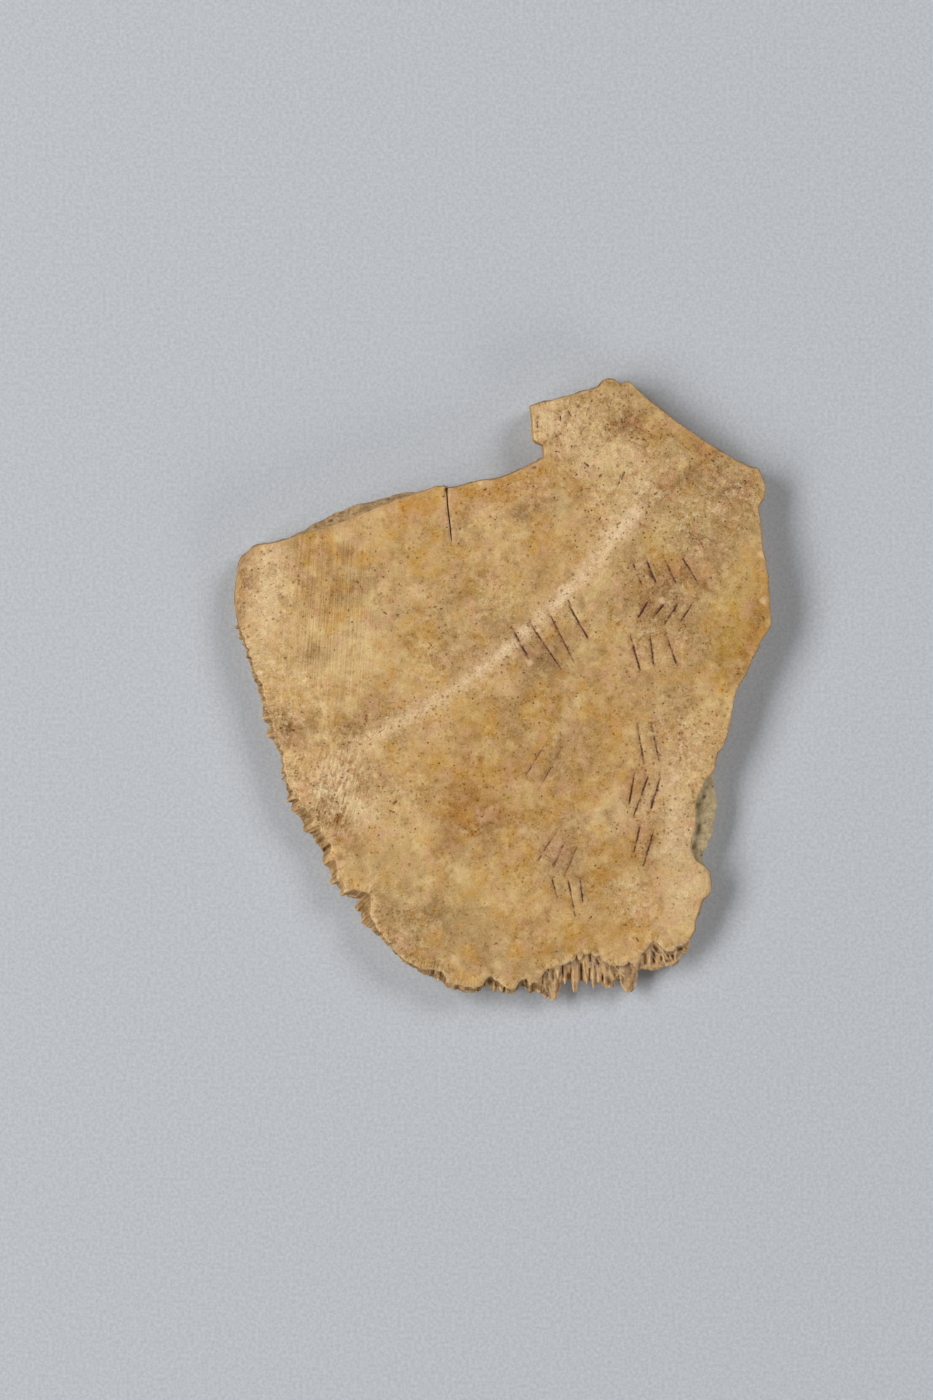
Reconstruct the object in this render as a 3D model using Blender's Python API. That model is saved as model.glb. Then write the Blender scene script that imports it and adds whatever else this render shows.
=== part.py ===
"""Oracle bone: a broken plate of turtle undershell, lying with its inscribed outer face up.

The frame is in metres. +X runs across the plate, +Y along it towards the narrow lobe, and +Z out of
the inscribed face. The plate lies on its scraped underside at z = 0, and the origin is under the
middle of its outline. The left and lower margins are natural sutures, toothed where the next plate
of the shell interlocked. The other margins are old breaks. Lengths below are in millimetres.
"""

import math
from collections import namedtuple

import bpy
import numpy as np
from mathutils import Vector, noise
from mathutils.geometry import delaunay_2d_cdt

NAME = "plastron_fragment"
MM = 0.001

# The plate: a slab that thins from its middle to its margin, flat below.
MIDDLE_THICKNESS = 4.5
THINNING = 1.0
HALF_WIDTH = 27.0
HALF_LENGTH = 31.0
UNDULATION = 0.12
UNDERSIDE_LIFT = 0.4
UNDERSIDE_LIFT_WIDTH = 1.3

# Two broad swellings of the face: up towards the right margin, and down where a flake has left it.
Swelling = namedtuple("Swelling", "rise middle spread")
SWELLINGS = [Swelling(0.8, (26.0, 9.0), (10.0, 12.0)), Swelling(-0.35, (20.0, -12.0), (5.0, 5.0))]

# The furrow on the face, where two horny scutes met.
FURROW_DEPTH = 0.24
FURROW_HALF_WIDTH = 0.85
FURROW = [(-22.5, -10.2), (-15.4, -5.8), (-10.0, -3.0), (-5.4, -0.3), (0.2, 3.9),
          (6.3, 9.6), (9.0, 12.4), (11.6, 15.8), (13.4, 17.8)]

# The hollows cut in the underside for cracking by heat: a boat-shaped slot and a round bowl
# beside it. They stand in columns, and each pair is placed by the middle of its slot.
SLOT_LENGTH, SLOT_WIDTH, SLOT_DEPTH = 9.0, 3.8, 2.2
BOWL_RADIUS, BOWL_DEPTH, BOWL_OFFSET = 2.6, 1.8, 3.4
HOLLOW_COLUMNS = {-16.5: (7.5, -6.0), -3.0: (9.0, -5.0, -19.0), 10.5: (22.0, 8.5, -5.5, -19.0)}
HOLLOWS = [(x, y) for x, rows in HOLLOW_COLUMNS.items() for y in rows]

# Sizes of the facets.
CELL = 2.3
FURROW_STEP = 1.8
SUTURE_STEP = 0.42
PEG_STEP = 0.26
BREAK_STEP = 1.1
WALL_LEVELS = (0.0, 0.14, 0.3, 0.48, 0.66, 0.84, 1.0)
FACING_BLEND = 0.6

# A stretch of the margin, on the face's own edge. roundness is 1 for an arc-like curve and near 0
# for straight runs, edge is the radius to which the face's edge is worn, and facing is the pair of
# directions, in degrees, in which its bone points at its two ends, or None where it is square to
# the edge.
Stretch = namedtuple("Stretch", "name roundness edge facing step points")
MARGIN = [
    Stretch("worn_corner", 1.0, 1.5, None, BREAK_STEP,
            [(-24.5, 14.4), (-25.5, 13.6), (-26.1, 12.9), (-26.5, 10.6), (-26.55, 8.6)]),
    Stretch("left_suture", 0.6, 0.7, (180, 222), SUTURE_STEP,
            [(-26.15, 6.4), (-25.3, 4.2), (-24.75, 2.4), (-23.9, 0.4), (-23.35, -1.8), (-22.85, -3.6),
             (-22.05, -5.6), (-21.6, -8.0), (-21.1, -9.8), (-20.2, -11.1), (-19.2, -12.1),
             (-18.3, -13.1), (-17.8, -14.3), (-17.1, -15.3), (-16.8, -16.6), (-16.2, -18.0)]),
    Stretch("foot_notch", 0.3, 0.25, (222, 226), SUTURE_STEP,
            [(-15.5, -19.6), (-13.0, -20.35), (-13.1, -22.2)]),
    Stretch("lower_left_suture", 0.6, 0.3, (226, 255), SUTURE_STEP,
            [(-12.7, -23.3), (-11.45, -24.9), (-10.1, -26.6)]),
    Stretch("bottom_suture", 0.6, 0.22, (255, 268), SUTURE_STEP,
            [(-8.3, -27.7), (-6.8, -27.9), (-5.9, -28.1), (-5.3, -29.1), (-3.5, -29.6), (-2.1, -29.55),
             (-1.35, -28.7), (-0.4, -29.0), (0.4, -29.7), (1.35, -29.75), (1.85, -29.0), (2.4, -28.8),
             (2.9, -29.45)]),
    Stretch("peg_row", 0.6, 0.2, (268, 274), PEG_STEP,
            [(3.6, -29.2), (4.4, -28.0), (6.2, -27.4), (7.3, -26.7), (8.4, -26.3), (9.6, -26.6),
             (11.3, -27.6), (12.6, -27.3)]),
    Stretch("honeycomb_corner", 0.5, 0.15, (276, 298), PEG_STEP,
            [(13.6, -27.3), (14.0, -26.3), (15.2, -25.0), (15.8, -25.4), (16.6, -26.05), (17.1, -26.05),
             (17.5, -25.6), (18.3, -25.4)]),
    Stretch("right_foot", 0.5, 0.12, None, BREAK_STEP,
            [(18.7, -24.9), (19.3, -23.9), (19.4, -23.0), (19.7, -22.0)]),
    Stretch("knob", 1.0, 0.25, None, BREAK_STEP,
            [(20.05, -20.95), (20.5, -20.6), (20.85, -20.1), (20.9, -19.2), (20.7, -18.2)]),
    Stretch("flake", 0.5, 0.06, None, BREAK_STEP,
            [(20.2, -17.5), (19.4, -17.0), (18.95, -16.0), (18.95, -15.0), (19.35, -13.6),
             (19.4, -11.2), (19.9, -10.0), (20.4, -8.8)]),
    Stretch("right_edge", 0.4, 0.07, None, BREAK_STEP,
            [(21.2, -7.9), (21.5, -6.2), (22.15, -5.5), (22.8, -3.2), (23.35, -0.2), (24.5, 2.0),
             (25.9, 5.0), (26.85, 6.6), (26.7, 8.6), (26.45, 12.2), (26.0, 14.2), (25.85, 16.6),
             (25.6, 18.2), (26.1, 19.2), (26.35, 20.2), (25.95, 21.4)]),
    Stretch("upper_right_break", 0.25, 0.07, None, BREAK_STEP,
            [(25.6, 22.1), (24.8, 22.2), (21.9, 23.8), (18.0, 26.4), (14.5, 29.1)]),
    Stretch("crown", 0.6, 0.12, None, BREAK_STEP,
            [(12.7, 30.75), (11.9, 30.6), (11.2, 30.95), (10.6, 31.05), (10.15, 30.8)]),
    Stretch("lobe_edge", 0.2, 0.06, None, BREAK_STEP,
            [(9.7, 30.25), (6.2, 29.2)]),
    Stretch("lobe_notch", 0.3, 0.07, None, BREAK_STEP,
            [(3.0, 28.3), (3.15, 26.8), (3.25, 25.0), (4.2, 24.45)]),
    Stretch("top_edge", 0.3, 0.07, None, BREAK_STEP,
            [(4.25, 23.2), (1.5, 21.75), (-0.5, 21.0), (-2.2, 20.85), (-4.0, 20.35),
             (-5.25, 20.15), (-5.75, 20.3), (-6.7, 20.2)]),
    Stretch("bevelled_break", 0.5, 0.06, None, BREAK_STEP,
            [(-8.6, 19.55), (-11.0, 18.75), (-15.4, 16.95), (-18.2, 15.95), (-20.6, 15.3),
             (-22.6, 14.7)]),
]

# How far the wall swells out at mid depth, and how rough it is.
SUTURE_SWELL, BREAK_SWELL = 0.15, 0.15
SUTURE_ROUGHNESS, BREAK_ROUGHNESS = 0.2, 0.15

# Where deeper bone stands out past the face's edge: how far, at even steps along the stretch, and
# between which parts of the depth it comes out.
Ledge = namedtuple("Ledge", "amounts start end")
LEDGES = {
    "bevelled_break": Ledge((0.15, 0.4, 0.6, 0.75, 1.05, 0.95, 0.85, 0.6, 0.25, 0, 0, 0), 0.02, 0.45),
    "flake": Ledge((0, 1.0, 1.65, 1.7, 1.6, 1.95, 2.0, 1.45, 0.8, 0), 0.18, 0.3),
    "honeycomb_corner": Ledge((0.4, 1.2, 2.1, 2.7, 2.2, 1.5, 1.15, 0.7, 0.05), 0.0, 0.4),
    "peg_row": Ledge((0.8, 1.9, 2.0, 1.4, 1.8, 2.7, 2.7, 2.2, 1.3, 1.3, 0.5), 0.0, 0.38),
    "foot_notch": Ledge((0.5, 0.9, 0.6, 1.2, 1.1, 0.7), 0.03, 0.4),
    "left_suture": Ledge((0, 0.15, 0.2, 0.35, 0.4, 0.05, 0.3, 0.95, 0.95, 0.75, 0.5), 0.02, 0.35),
    "lower_left_suture": Ledge((0.5, 0.25, 0.1, 0.1, 0.15), 0.02, 0.4),
    "bottom_suture": Ledge((0.1, 0.6, 0.8, 0.35, 0.35, 0.3, 0.9, 0.6, 0.15, 0.7, 0.6), 0.03, 0.35),
}

# Teeth of the sutures that stand out: the tip, half the width, the part of the depth at the
# tooth's middle, half its height as a part of the depth, and how blunt it is (1 is a cone).
Tooth = namedtuple("Tooth", "tip half_width level half_height bluntness")
TEETH = [
    Tooth((-24.35, -0.1), 0.5, 0.45, 0.35, 1.2),
    Tooth((-23.9, -2.85), 0.9, 0.4, 0.4, 2.0),
    Tooth((-23.5, -4.6), 0.9, 0.42, 0.4, 2.0),
    Tooth((-21.6, -11.2), 0.6, 0.3, 0.4, 1.5),
    Tooth((-20.95, -12.1), 0.9, 0.32, 0.4, 2.4),
    Tooth((-19.75, -14.15), 1.1, 0.32, 0.4, 2.0),
    Tooth((-18.05, -15.8), 0.6, 0.35, 0.35, 1.6),
    Tooth((-17.8, -17.4), 1.1, 0.28, 0.4, 2.4),
    Tooth((-17.15, -19.4), 1.0, 0.28, 0.4, 1.2),
    Tooth((-16.1, -20.5), 0.9, 0.26, 0.4, 1.4),
    Tooth((-14.5, -22.1), 1.1, 0.5, 0.4, 1.8),
    Tooth((-6.4, -29.2), 0.7, 0.4, 0.35, 1.4),
    Tooth((-4.9, -29.95), 0.6, 0.45, 0.35, 1.4),
    Tooth((-3.0, -30.25), 0.9, 0.45, 0.4, 1.8),
    Tooth((-0.8, -30.2), 0.9, 0.45, 0.35, 1.6),
    Tooth((1.3, -30.2), 0.7, 0.45, 0.35, 1.4),
    Tooth((2.5, -29.95), 0.5, 0.4, 0.35, 1.2),
    Tooth((5.15, -31.2), 1.3, 0.52, 0.43, 1.7),
    Tooth((4.45, -30.8), 1.0, 0.57, 0.38, 2.0),
    Tooth((6.35, -29.35), 0.55, 0.32, 0.28, 1.5),
    Tooth((7.4, -30.3), 0.5, 0.45, 0.4, 3.0),
    Tooth((8.6, -29.5), 0.55, 0.47, 0.38, 1.6),
    Tooth((9.25, -29.8), 0.42, 0.49, 0.4, 2.6),
    Tooth((9.85, -29.3), 0.45, 0.47, 0.38, 4.0),
    Tooth((10.7, -29.75), 0.85, 0.67, 0.4, 9.0),
    Tooth((10.5, -28.3), 0.6, 0.32, 0.28, 3.0),
    Tooth((11.35, -28.95), 0.5, 0.37, 0.28, 1.6),
    Tooth((12.8, -30.25), 1.2, 0.57, 0.46, 2.8),
]
TOOTH_REACH = 4.0

# How square a tooth is in section: 1 is a diamond with a ridge down its top, and 3 nearly a box.
BLOCK_BLUNTNESS = 3.0
BLOCK_CORNER, RIDGE_CORNER = 2.6, 1.25

BONE_COLOUR = (0.479, 0.301, 0.136, 1.0)
BONE_ROUGHNESS = 0.55

Margin = namedtuple("Margin", "points facing stretch along arc edge")


# --- the margin -----------------------------------------------------------------------------


def curve_between(start, end, start_way, end_way, roundness, count):
    """Points on a cubic from start, short of end, that leaves and arrives along the given ways."""
    t = np.linspace(0, 1, count, endpoint=False)[:, None]
    pull = roundness * np.linalg.norm(end - start)
    return ((2 * t**3 - 3 * t**2 + 1) * start + (t**3 - 2 * t**2 + t) * pull * start_way
            + (3 * t**2 - 2 * t**3) * end + (t**3 - t**2) * pull * end_way)


def unit(vectors):
    return vectors / np.linalg.norm(vectors, axis=-1, keepdims=True)


def blurred(values, arc, total, width):
    """Values round a closed line, each the average of those within about the given width."""
    gap = np.abs(arc[:, None] - arc[None, :])
    gap = np.minimum(gap, total - gap)
    spacing = np.diff(np.append(arc, total))
    weight = np.exp(-0.5 * (gap / width) ** 2) * (spacing + np.roll(spacing, 1))
    return (weight @ values) / weight.sum(axis=1)[:, None]


def margin_of(stretches):
    """The face's edge as a closed line of points, with what each point belongs to."""
    corners = np.array([p for stretch in stretches for p in stretch.points])
    owner = [i for i, stretch in enumerate(stretches) for _ in stretch.points]
    ways = unit(np.roll(corners, -1, axis=0) - np.roll(corners, 1, axis=0))
    points, stretch_of = [], []
    for i, index in enumerate(owner):
        after = (i + 1) % len(corners)
        count = math.ceil(np.linalg.norm(corners[after] - corners[i]) / stretches[index].step)
        points.append(curve_between(corners[i], corners[after], ways[i], ways[after],
                                    stretches[index].roundness, count))
        stretch_of += [index] * count
    points = np.concatenate(points)
    stretch_of = np.array(stretch_of)
    steps = np.linalg.norm(np.roll(points, -1, axis=0) - points, axis=1)
    arc = np.concatenate([[0], np.cumsum(steps)[:-1]])
    along = np.zeros(len(points))
    tangent = unit(np.roll(points, -1, axis=0) - np.roll(points, 1, axis=0))
    facing = np.stack([tangent[:, 1], -tangent[:, 0]], axis=1)
    for index, stretch in enumerate(stretches):
        mine = stretch_of == index
        along[mine] = (arc[mine] - arc[mine][0]) / (np.ptp(arc[mine]) + steps[mine][-1])
        if stretch.facing:
            angle = np.radians(np.interp(along[mine], (0, 1), stretch.facing))
            facing[mine] = np.stack([np.cos(angle), np.sin(angle)], axis=1)
    facing = unit(blurred(facing, arc, steps.sum(), FACING_BLEND))
    edge = np.array([stretch.edge for stretch in stretches])[stretch_of]
    edge = blurred(edge[:, None], arc, steps.sum(), FACING_BLEND)[:, 0]
    return Margin(points, facing, stretch_of, along, arc, edge)


def noise_at(points, scale, seed):
    """Smooth noise from -1 to 1 at each point, with features about the given size."""
    shift = Vector((seed, seed * 0.7, seed * 1.3))
    return np.array([noise.noise(Vector(p) / scale + shift) for p in points])


def ramp(values, low, high):
    t = np.clip((values - low) / (high - low), 0, 1)
    return t * t * (3 - 2 * t)


def reach_of(margin, levels):
    """How far the bone stands out from the face's edge, for each margin point and depth level."""
    depth = np.array(levels)[None, :]
    mid_depth = np.sin(math.pi * depth)
    names = [stretch.name for stretch in MARGIN]
    sutured = np.array([stretch.facing is not None for stretch in MARGIN])[margin.stretch]
    spots = np.array([(x, y, q * MIDDLE_THICKNESS) for x, y in margin.points for q in levels])
    rough = noise_at(spots, 1.6, 3.0).reshape(len(margin.points), len(levels))
    reach = mid_depth * (np.where(sutured, SUTURE_SWELL, BREAK_SWELL)[:, None]
                         + np.where(sutured, SUTURE_ROUGHNESS, BREAK_ROUGHNESS)[:, None] * rough)
    for name, ledge in LEDGES.items():
        mine = margin.stretch == names.index(name)
        amount = np.interp(margin.along[mine], np.linspace(0, 1, len(ledge.amounts)), ledge.amounts)
        reach[mine] += amount[:, None] * ramp(depth, ledge.start, ledge.end)
    for tooth in TEETH:
        reach = np.maximum(reach, tooth_reach(margin, tooth, depth))
    return reach


def tooth_reach(margin, tooth, depth):
    """The reach of one tooth, a cone or a block that stands along the facing of its root."""
    to_tip = np.array(tooth.tip) - margin.points
    ahead = (to_tip * margin.facing).sum(axis=1)
    aside = np.abs(to_tip[:, 0] * margin.facing[:, 1] - to_tip[:, 1] * margin.facing[:, 0])
    aside[(ahead < 0) | (ahead > TOOTH_REACH)] = np.inf
    root = aside.argmin()
    way = margin.facing[root]
    offset = margin.points - margin.points[root]
    across = np.abs(offset[:, 0] * way[1] - offset[:, 1] * way[0])
    length = ahead[root] - offset @ way
    across[np.abs(margin.arc - margin.arc[root]) > TOOTH_REACH] = np.inf
    corner = BLOCK_CORNER if tooth.bluntness >= BLOCK_BLUNTNESS else RIDGE_CORNER
    side = (across / tooth.half_width)[:, None]
    level = np.abs(depth - tooth.level) / tooth.half_height
    radius = (side**corner + level**corner) ** (1 / corner)
    shape = 1 - np.minimum(radius, 1) ** tooth.bluntness
    return np.where(radius < 1, np.maximum(length, 0)[:, None] * shape, -np.inf)


# --- the two faces --------------------------------------------------------------------------


def nearest_on_margin(points, ring):
    """For each point, the distance to the ring and the index of its nearest vertex."""
    nearest = np.empty(len(points), int)
    for first in range(0, len(points), 2000):
        block = points[first:first + 2000]
        nearest[first:first + 2000] = np.linalg.norm(
            block[:, None] - ring[None], axis=2).argmin(axis=1)
    best = np.full(len(points), np.inf)
    for shift in (-1, 0):
        a = ring[(nearest + shift) % len(ring)]
        b = ring[(nearest + shift + 1) % len(ring)]
        run = b - a
        t = np.clip(((points - a) * run).sum(axis=1) / (run * run).sum(axis=1), 0, 1)
        best = np.minimum(best, np.linalg.norm(points - a - t[:, None] * run, axis=1))
    return best, nearest


def inside(points, ring):
    """Which points lie inside the ring, by counting the edges that a ray to +X crosses."""
    x, y = points[:, :1], points[:, 1:]
    a, b = ring, np.roll(ring, -1, axis=0)
    spans = (a[None, :, 1] > y) != (b[None, :, 1] > y)
    rise = np.where(a[:, 1] == b[:, 1], 1.0, b[:, 1] - a[:, 1])
    crossing = a[None, :, 0] + (y - a[None, :, 1]) * ((b[:, 0] - a[:, 0]) / rise)[None]
    return ((spans & (x < crossing)).sum(axis=1) % 2).astype(bool)


def distance_to_path(points, path):
    path = np.array(path)
    best = np.full(len(points), np.inf)
    for a, b in zip(path[:-1], path[1:]):
        t = np.clip(((points - a) @ (b - a)) / ((b - a) @ (b - a)), 0, 1)
        best = np.minimum(best, np.linalg.norm(points - a - t[:, None] * (b - a), axis=1))
    return best


def face_height(points, distance, edge):
    """The inscribed face: a low dome with a furrow, worn round at its edge."""
    x, y = points.T
    height = MIDDLE_THICKNESS - THINNING * ((x / HALF_WIDTH) ** 2 + (y / HALF_LENGTH) ** 2)
    spots = np.column_stack([points, np.zeros(len(points))])
    height += UNDULATION * noise_at(spots, 9.0, 1.0)
    for swelling in SWELLINGS:
        offset = (points - swelling.middle) / swelling.spread
        height += swelling.rise * np.exp(-(offset**2).sum(axis=1))
    height -= FURROW_DEPTH * np.exp(-(distance_to_path(points, FURROW) / FURROW_HALF_WIDTH) ** 2)
    short = np.clip(edge - distance, 0, None)
    return height - (edge - np.sqrt(edge**2 - short**2))


def underside_height(points, distance):
    """The scraped underside: flat, lifting a little at the margin, with the hollows."""
    height = UNDERSIDE_LIFT * np.clip(1 - distance / UNDERSIDE_LIFT_WIDTH, 0, 1) ** 2
    for x, y in HOLLOWS:
        across = np.abs(points[:, 0] - x)
        along = np.clip(1 - (2 * (points[:, 1] - y) / SLOT_LENGTH) ** 2, 0, 1)
        half_width = np.maximum(0.5 * SLOT_WIDTH * np.sqrt(along), 1e-6)
        slot = SLOT_DEPTH * np.clip(1 - across / half_width, 0, 1) * np.sqrt(along)
        off_bowl = np.hypot(points[:, 0] - x - BOWL_OFFSET, points[:, 1] - y)
        bowl = BOWL_DEPTH * np.sqrt(np.clip(1 - (off_bowl / BOWL_RADIUS) ** 2, 0, 1))
        height = np.maximum(height, np.maximum(slot, bowl))
    return height


def grid_points(ring, cell):
    """A triangular grid inside the ring, clear of it."""
    low, high = ring.min(axis=0), ring.max(axis=0)
    rows = np.arange(low[1], high[1], cell * math.sqrt(3) / 2)
    points = [(x + (cell / 2 if row % 2 else 0), y)
              for row, y in enumerate(rows) for x in np.arange(low[0], high[0], cell)]
    points = np.array(points)
    points = points[inside(points, ring)]
    return points[nearest_on_margin(points, ring)[0] > 0.45 * cell]


def clear_of(points, others, gap):
    return points[np.linalg.norm(points[:, None] - others[None], axis=2).min(axis=1) > gap]


def furrow_points(ring):
    """Rows of points down the furrow's middle and its two rims."""
    path = np.array(FURROW)
    legs = np.linalg.norm(np.diff(path, axis=0), axis=1)
    arc = np.concatenate([[0], np.cumsum(legs)])
    spots = np.arange(0, arc[-1], FURROW_STEP)
    middle = np.stack([np.interp(spots, arc, path[:, 0]), np.interp(spots, arc, path[:, 1])], 1)
    ways = unit(np.gradient(middle, axis=0))
    aside = np.stack([-ways[:, 1], ways[:, 0]], axis=1) * 1.4 * FURROW_HALF_WIDTH
    points = np.concatenate([middle, middle + aside, middle - aside])
    points = points[inside(points, ring)]
    return points[nearest_on_margin(points, ring)[0] > 0.7]


def hollow_points():
    """Each slot's keel and rim, and each bowl's centre and rings."""
    points = []
    for x, y in HOLLOWS:
        for part in np.linspace(-0.999, 0.999, 9):
            half_width = 0.5 * SLOT_WIDTH * math.sqrt(1 - part**2)
            row = y + 0.5 * SLOT_LENGTH * part
            points += [(x + side * half_width, row) for side in ((-1, 0, 1) if abs(part) < 0.99
                                                                 else (0,))]
        points.append((x + BOWL_OFFSET, y))
        for radius, count in ((0.5, 6), (0.85, 12), (1.0, 16)):
            for i in range(count):
                angle = 2 * math.pi * i / count
                points.append((x + BOWL_OFFSET + radius * BOWL_RADIUS * math.cos(angle),
                               y + radius * BOWL_RADIUS * math.sin(angle)))
    points = np.array(points)
    kept = [points[0]]
    for point in points[1:]:
        if np.linalg.norm(np.array(kept) - point, axis=1).min() > 0.35:
            kept.append(point)
    return np.array(kept)


# --- the solid ------------------------------------------------------------------------------


def cap(ring, loose):
    """Triangles, counter-clockwise from above, over the ring and the loose points inside it."""
    points = [Vector(p) for p in np.concatenate([ring, loose])]
    found = delaunay_2d_cdt(points, [], [list(range(len(ring)))], 1, 1e-6, True)
    corners = np.array([tuple(p) for p in found[0]])[np.array(found[2])]
    order = [sources[0] for sources in found[3]]
    return [tuple(order[v] for v in face)
            for face, kept in zip(found[2], inside(corners.mean(axis=1), ring)) if kept]


def plate_mesh():
    """Vertices in millimetres and triangles of the whole plate."""
    margin = margin_of(MARGIN)
    reach = reach_of(margin, WALL_LEVELS)
    count, levels = reach.shape
    outline = margin.points[:, None] + margin.facing[:, None] * reach[:, :, None]
    face_ring, under_ring = outline[:, 0], outline[:, -1]
    rim = np.zeros(count)
    top = face_height(face_ring, rim, margin.edge)
    bottom = underside_height(under_ring, rim)
    height = top[:, None] + (bottom - top)[:, None] * np.array(WALL_LEVELS)
    wall = np.concatenate([outline, height[:, :, None]], axis=2).reshape(-1, 3)

    in_furrow = furrow_points(face_ring)
    face_loose = clear_of(grid_points(face_ring, CELL), in_furrow, 0.5 * CELL)
    face_loose = np.concatenate([face_loose, in_furrow])
    distance, nearest = nearest_on_margin(face_loose, face_ring)
    face_z = face_height(face_loose, distance, margin.edge[nearest])

    in_hollows = hollow_points()
    under_loose = clear_of(grid_points(under_ring, CELL), in_hollows, 0.45 * CELL)
    under_loose = np.concatenate([under_loose, in_hollows])
    distance, _ = nearest_on_margin(under_loose, under_ring)
    under_z = underside_height(under_loose, distance)

    vertices = np.concatenate([wall, np.column_stack([face_loose, face_z]),
                               np.column_stack([under_loose, under_z])])
    faces = []
    for i in range(count):
        after = (i + 1) % count
        for k in range(levels - 1):
            a, b = i * levels + k, after * levels + k
            faces += [(a, a + 1, b + 1), (a, b + 1, b)]
    first = len(wall)
    number = np.concatenate([np.arange(count) * levels, first + np.arange(len(face_loose))])
    faces += [tuple(int(number[v]) for v in face) for face in cap(face_ring, face_loose)]
    first += len(face_loose)
    number = np.concatenate([np.arange(count) * levels + levels - 1,
                             first + np.arange(len(under_loose))])
    faces += [tuple(int(number[v]) for v in reversed(face))
              for face in cap(under_ring, under_loose)]
    return vertices, faces


def bone_material():
    material = bpy.data.materials.new("aged_bone")
    material.use_nodes = True
    shader = material.node_tree.nodes["Principled BSDF"]
    shader.inputs["Base Color"].default_value = BONE_COLOUR
    shader.inputs["Roughness"].default_value = BONE_ROUGHNESS
    shader.inputs["Metallic"].default_value = 0.0
    material.diffuse_color = BONE_COLOUR
    return material


def main():
    for obj in list(bpy.data.objects):
        bpy.data.objects.remove(obj)
    vertices, faces = plate_mesh()
    vertices[:, :2] -= (vertices[:, :2].min(axis=0) + vertices[:, :2].max(axis=0)) / 2
    mesh = bpy.data.meshes.new(NAME)
    mesh.from_pydata((vertices * MM).tolist(), [], faces)
    mesh.materials.append(bone_material())
    mesh.shade_smooth()
    mesh.set_sharp_from_angle(angle=math.radians(40))
    plate = bpy.data.objects.new(NAME, mesh)
    bpy.context.scene.collection.objects.link(plate)


main()
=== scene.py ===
"""Oracle bone: the fine surface, the finish and the studio for the broken plate of turtle shell.

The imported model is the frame. One closed mesh stands for its single solid, with the same outline,
dome, furrow, teeth and hollows, and adds what the solid leaves out: the little teeth and pores of
the margin, the crack, the pits and the incised strokes. Lengths are in millimetres until a mesh or
an object is made, and colours are sRGB values from 0 to 255.
"""

import math
from collections import namedtuple
from functools import reduce

import bpy
import numpy as np
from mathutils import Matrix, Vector, kdtree, noise
from mathutils.geometry import delaunay_2d_cdt


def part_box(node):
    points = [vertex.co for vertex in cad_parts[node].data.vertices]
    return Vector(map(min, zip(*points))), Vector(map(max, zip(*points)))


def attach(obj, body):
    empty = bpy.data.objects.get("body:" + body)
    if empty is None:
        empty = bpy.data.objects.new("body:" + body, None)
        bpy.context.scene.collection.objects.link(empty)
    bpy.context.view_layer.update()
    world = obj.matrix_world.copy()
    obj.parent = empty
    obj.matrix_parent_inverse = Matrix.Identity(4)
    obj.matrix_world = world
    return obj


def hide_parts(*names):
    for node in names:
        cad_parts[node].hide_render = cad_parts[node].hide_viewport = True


NODE = "plastron_fragment"
SKIN = "plastron_fragment_skin"
MM = 0.001
SEED = 7

# Layers of noise are given as tuples of amount, size of the features and seed.

# --- shape ----------------------------------------------------------------------------------

# The plate: a slab that thins from its middle to its margin, flat below. The rises are each its
# height, middle and two radii.
MIDDLE_THICKNESS = 4.5
THINNING = 1.0
HALF_WIDTH = 27.0
HALF_LENGTH = 31.0
RISES = ((0.8, 26.0, 9.0, 10.0, 12.0), (-0.35, 20.0, -12.0, 5.0, 5.0))
UNDULATION = ((0.12, 9.0, 1.0),)
FACE_RELIEF = ((0.035, 2.6, 21.0), (0.012, 0.9, 22.0))
UNDERSIDE_LIFT = 0.4
UNDERSIDE_LIFT_WIDTH = 1.3
UNDERSIDE_RIM, UNDERSIDE_CLEAR = (0.2, 1.5), 0.04
UNDERSIDE_RELIEF = ((0.04, 1.7, 32.0),)

# The furrow on the face, where two horny scutes met, and how far its stain and wear reach.
FURROW_DEPTH = 0.24
FURROW_HALF_WIDTH = 0.85
FURROW_STAIN, FURROW_WEAR = 1.9, 2.2
FURROW_STAIN_FADE = (-20.0, -10.0)
FURROW = [
    (-22.5, -10.2), (-15.4, -5.8), (-10.0, -3.0), (-5.4, -0.3), (0.2, 3.9), (6.3, 9.6), (9.0, 12.4),
    (11.6, 15.8), (13.4, 17.8),
]

# The face's scraped corner: its middle and radii, and how long and wide its scores are.
SCRAPED_HOLLOW = (-16.5, -9.5, 4.2, 5.0)
SCRAPED_RELIEF = ((0.03, 0.5, 24.0),)
SCORE_WAY = (0.5, 0.87)
SCORE_SIZE = (2.4, 0.35)
SCORES = ((0.06, 1.0, 23.0),)

# The face along the sutures: combed square to the margin, and a little lower.
FRAY_WIDTH, FRAY_FALL = 1.8, 0.05
FRAY_RELIEF = ((0.08, 0.5, 28.0),)
COMB_SIZE = (0.34, 2.0)
COMB = ((0.12, 1.0, 25.0),)

# The heat hollows in the underside, in columns: a boat-shaped slot with a round bowl beside it.
SLOT_LENGTH, SLOT_WIDTH, SLOT_DEPTH = 9.0, 3.8, 2.2
BOWL_RADIUS, BOWL_DEPTH, BOWL_OFFSET = 2.6, 1.8, 3.4
HOLLOW_COLUMNS = {-16.5: (7.5, -6.0), -3.0: (9.0, -5.0, -19.0), 10.5: (22.0, 8.5, -5.5, -19.0)}
HOLLOWS = [(x, y) for x, rows in HOLLOW_COLUMNS.items() for y in rows]
SCORCH_DEPTH = 1.2
CHISEL_SIZE = (0.5, 2.2)
CHISEL_MARKS = ((0.07, 1.0, 31.0),)

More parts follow.
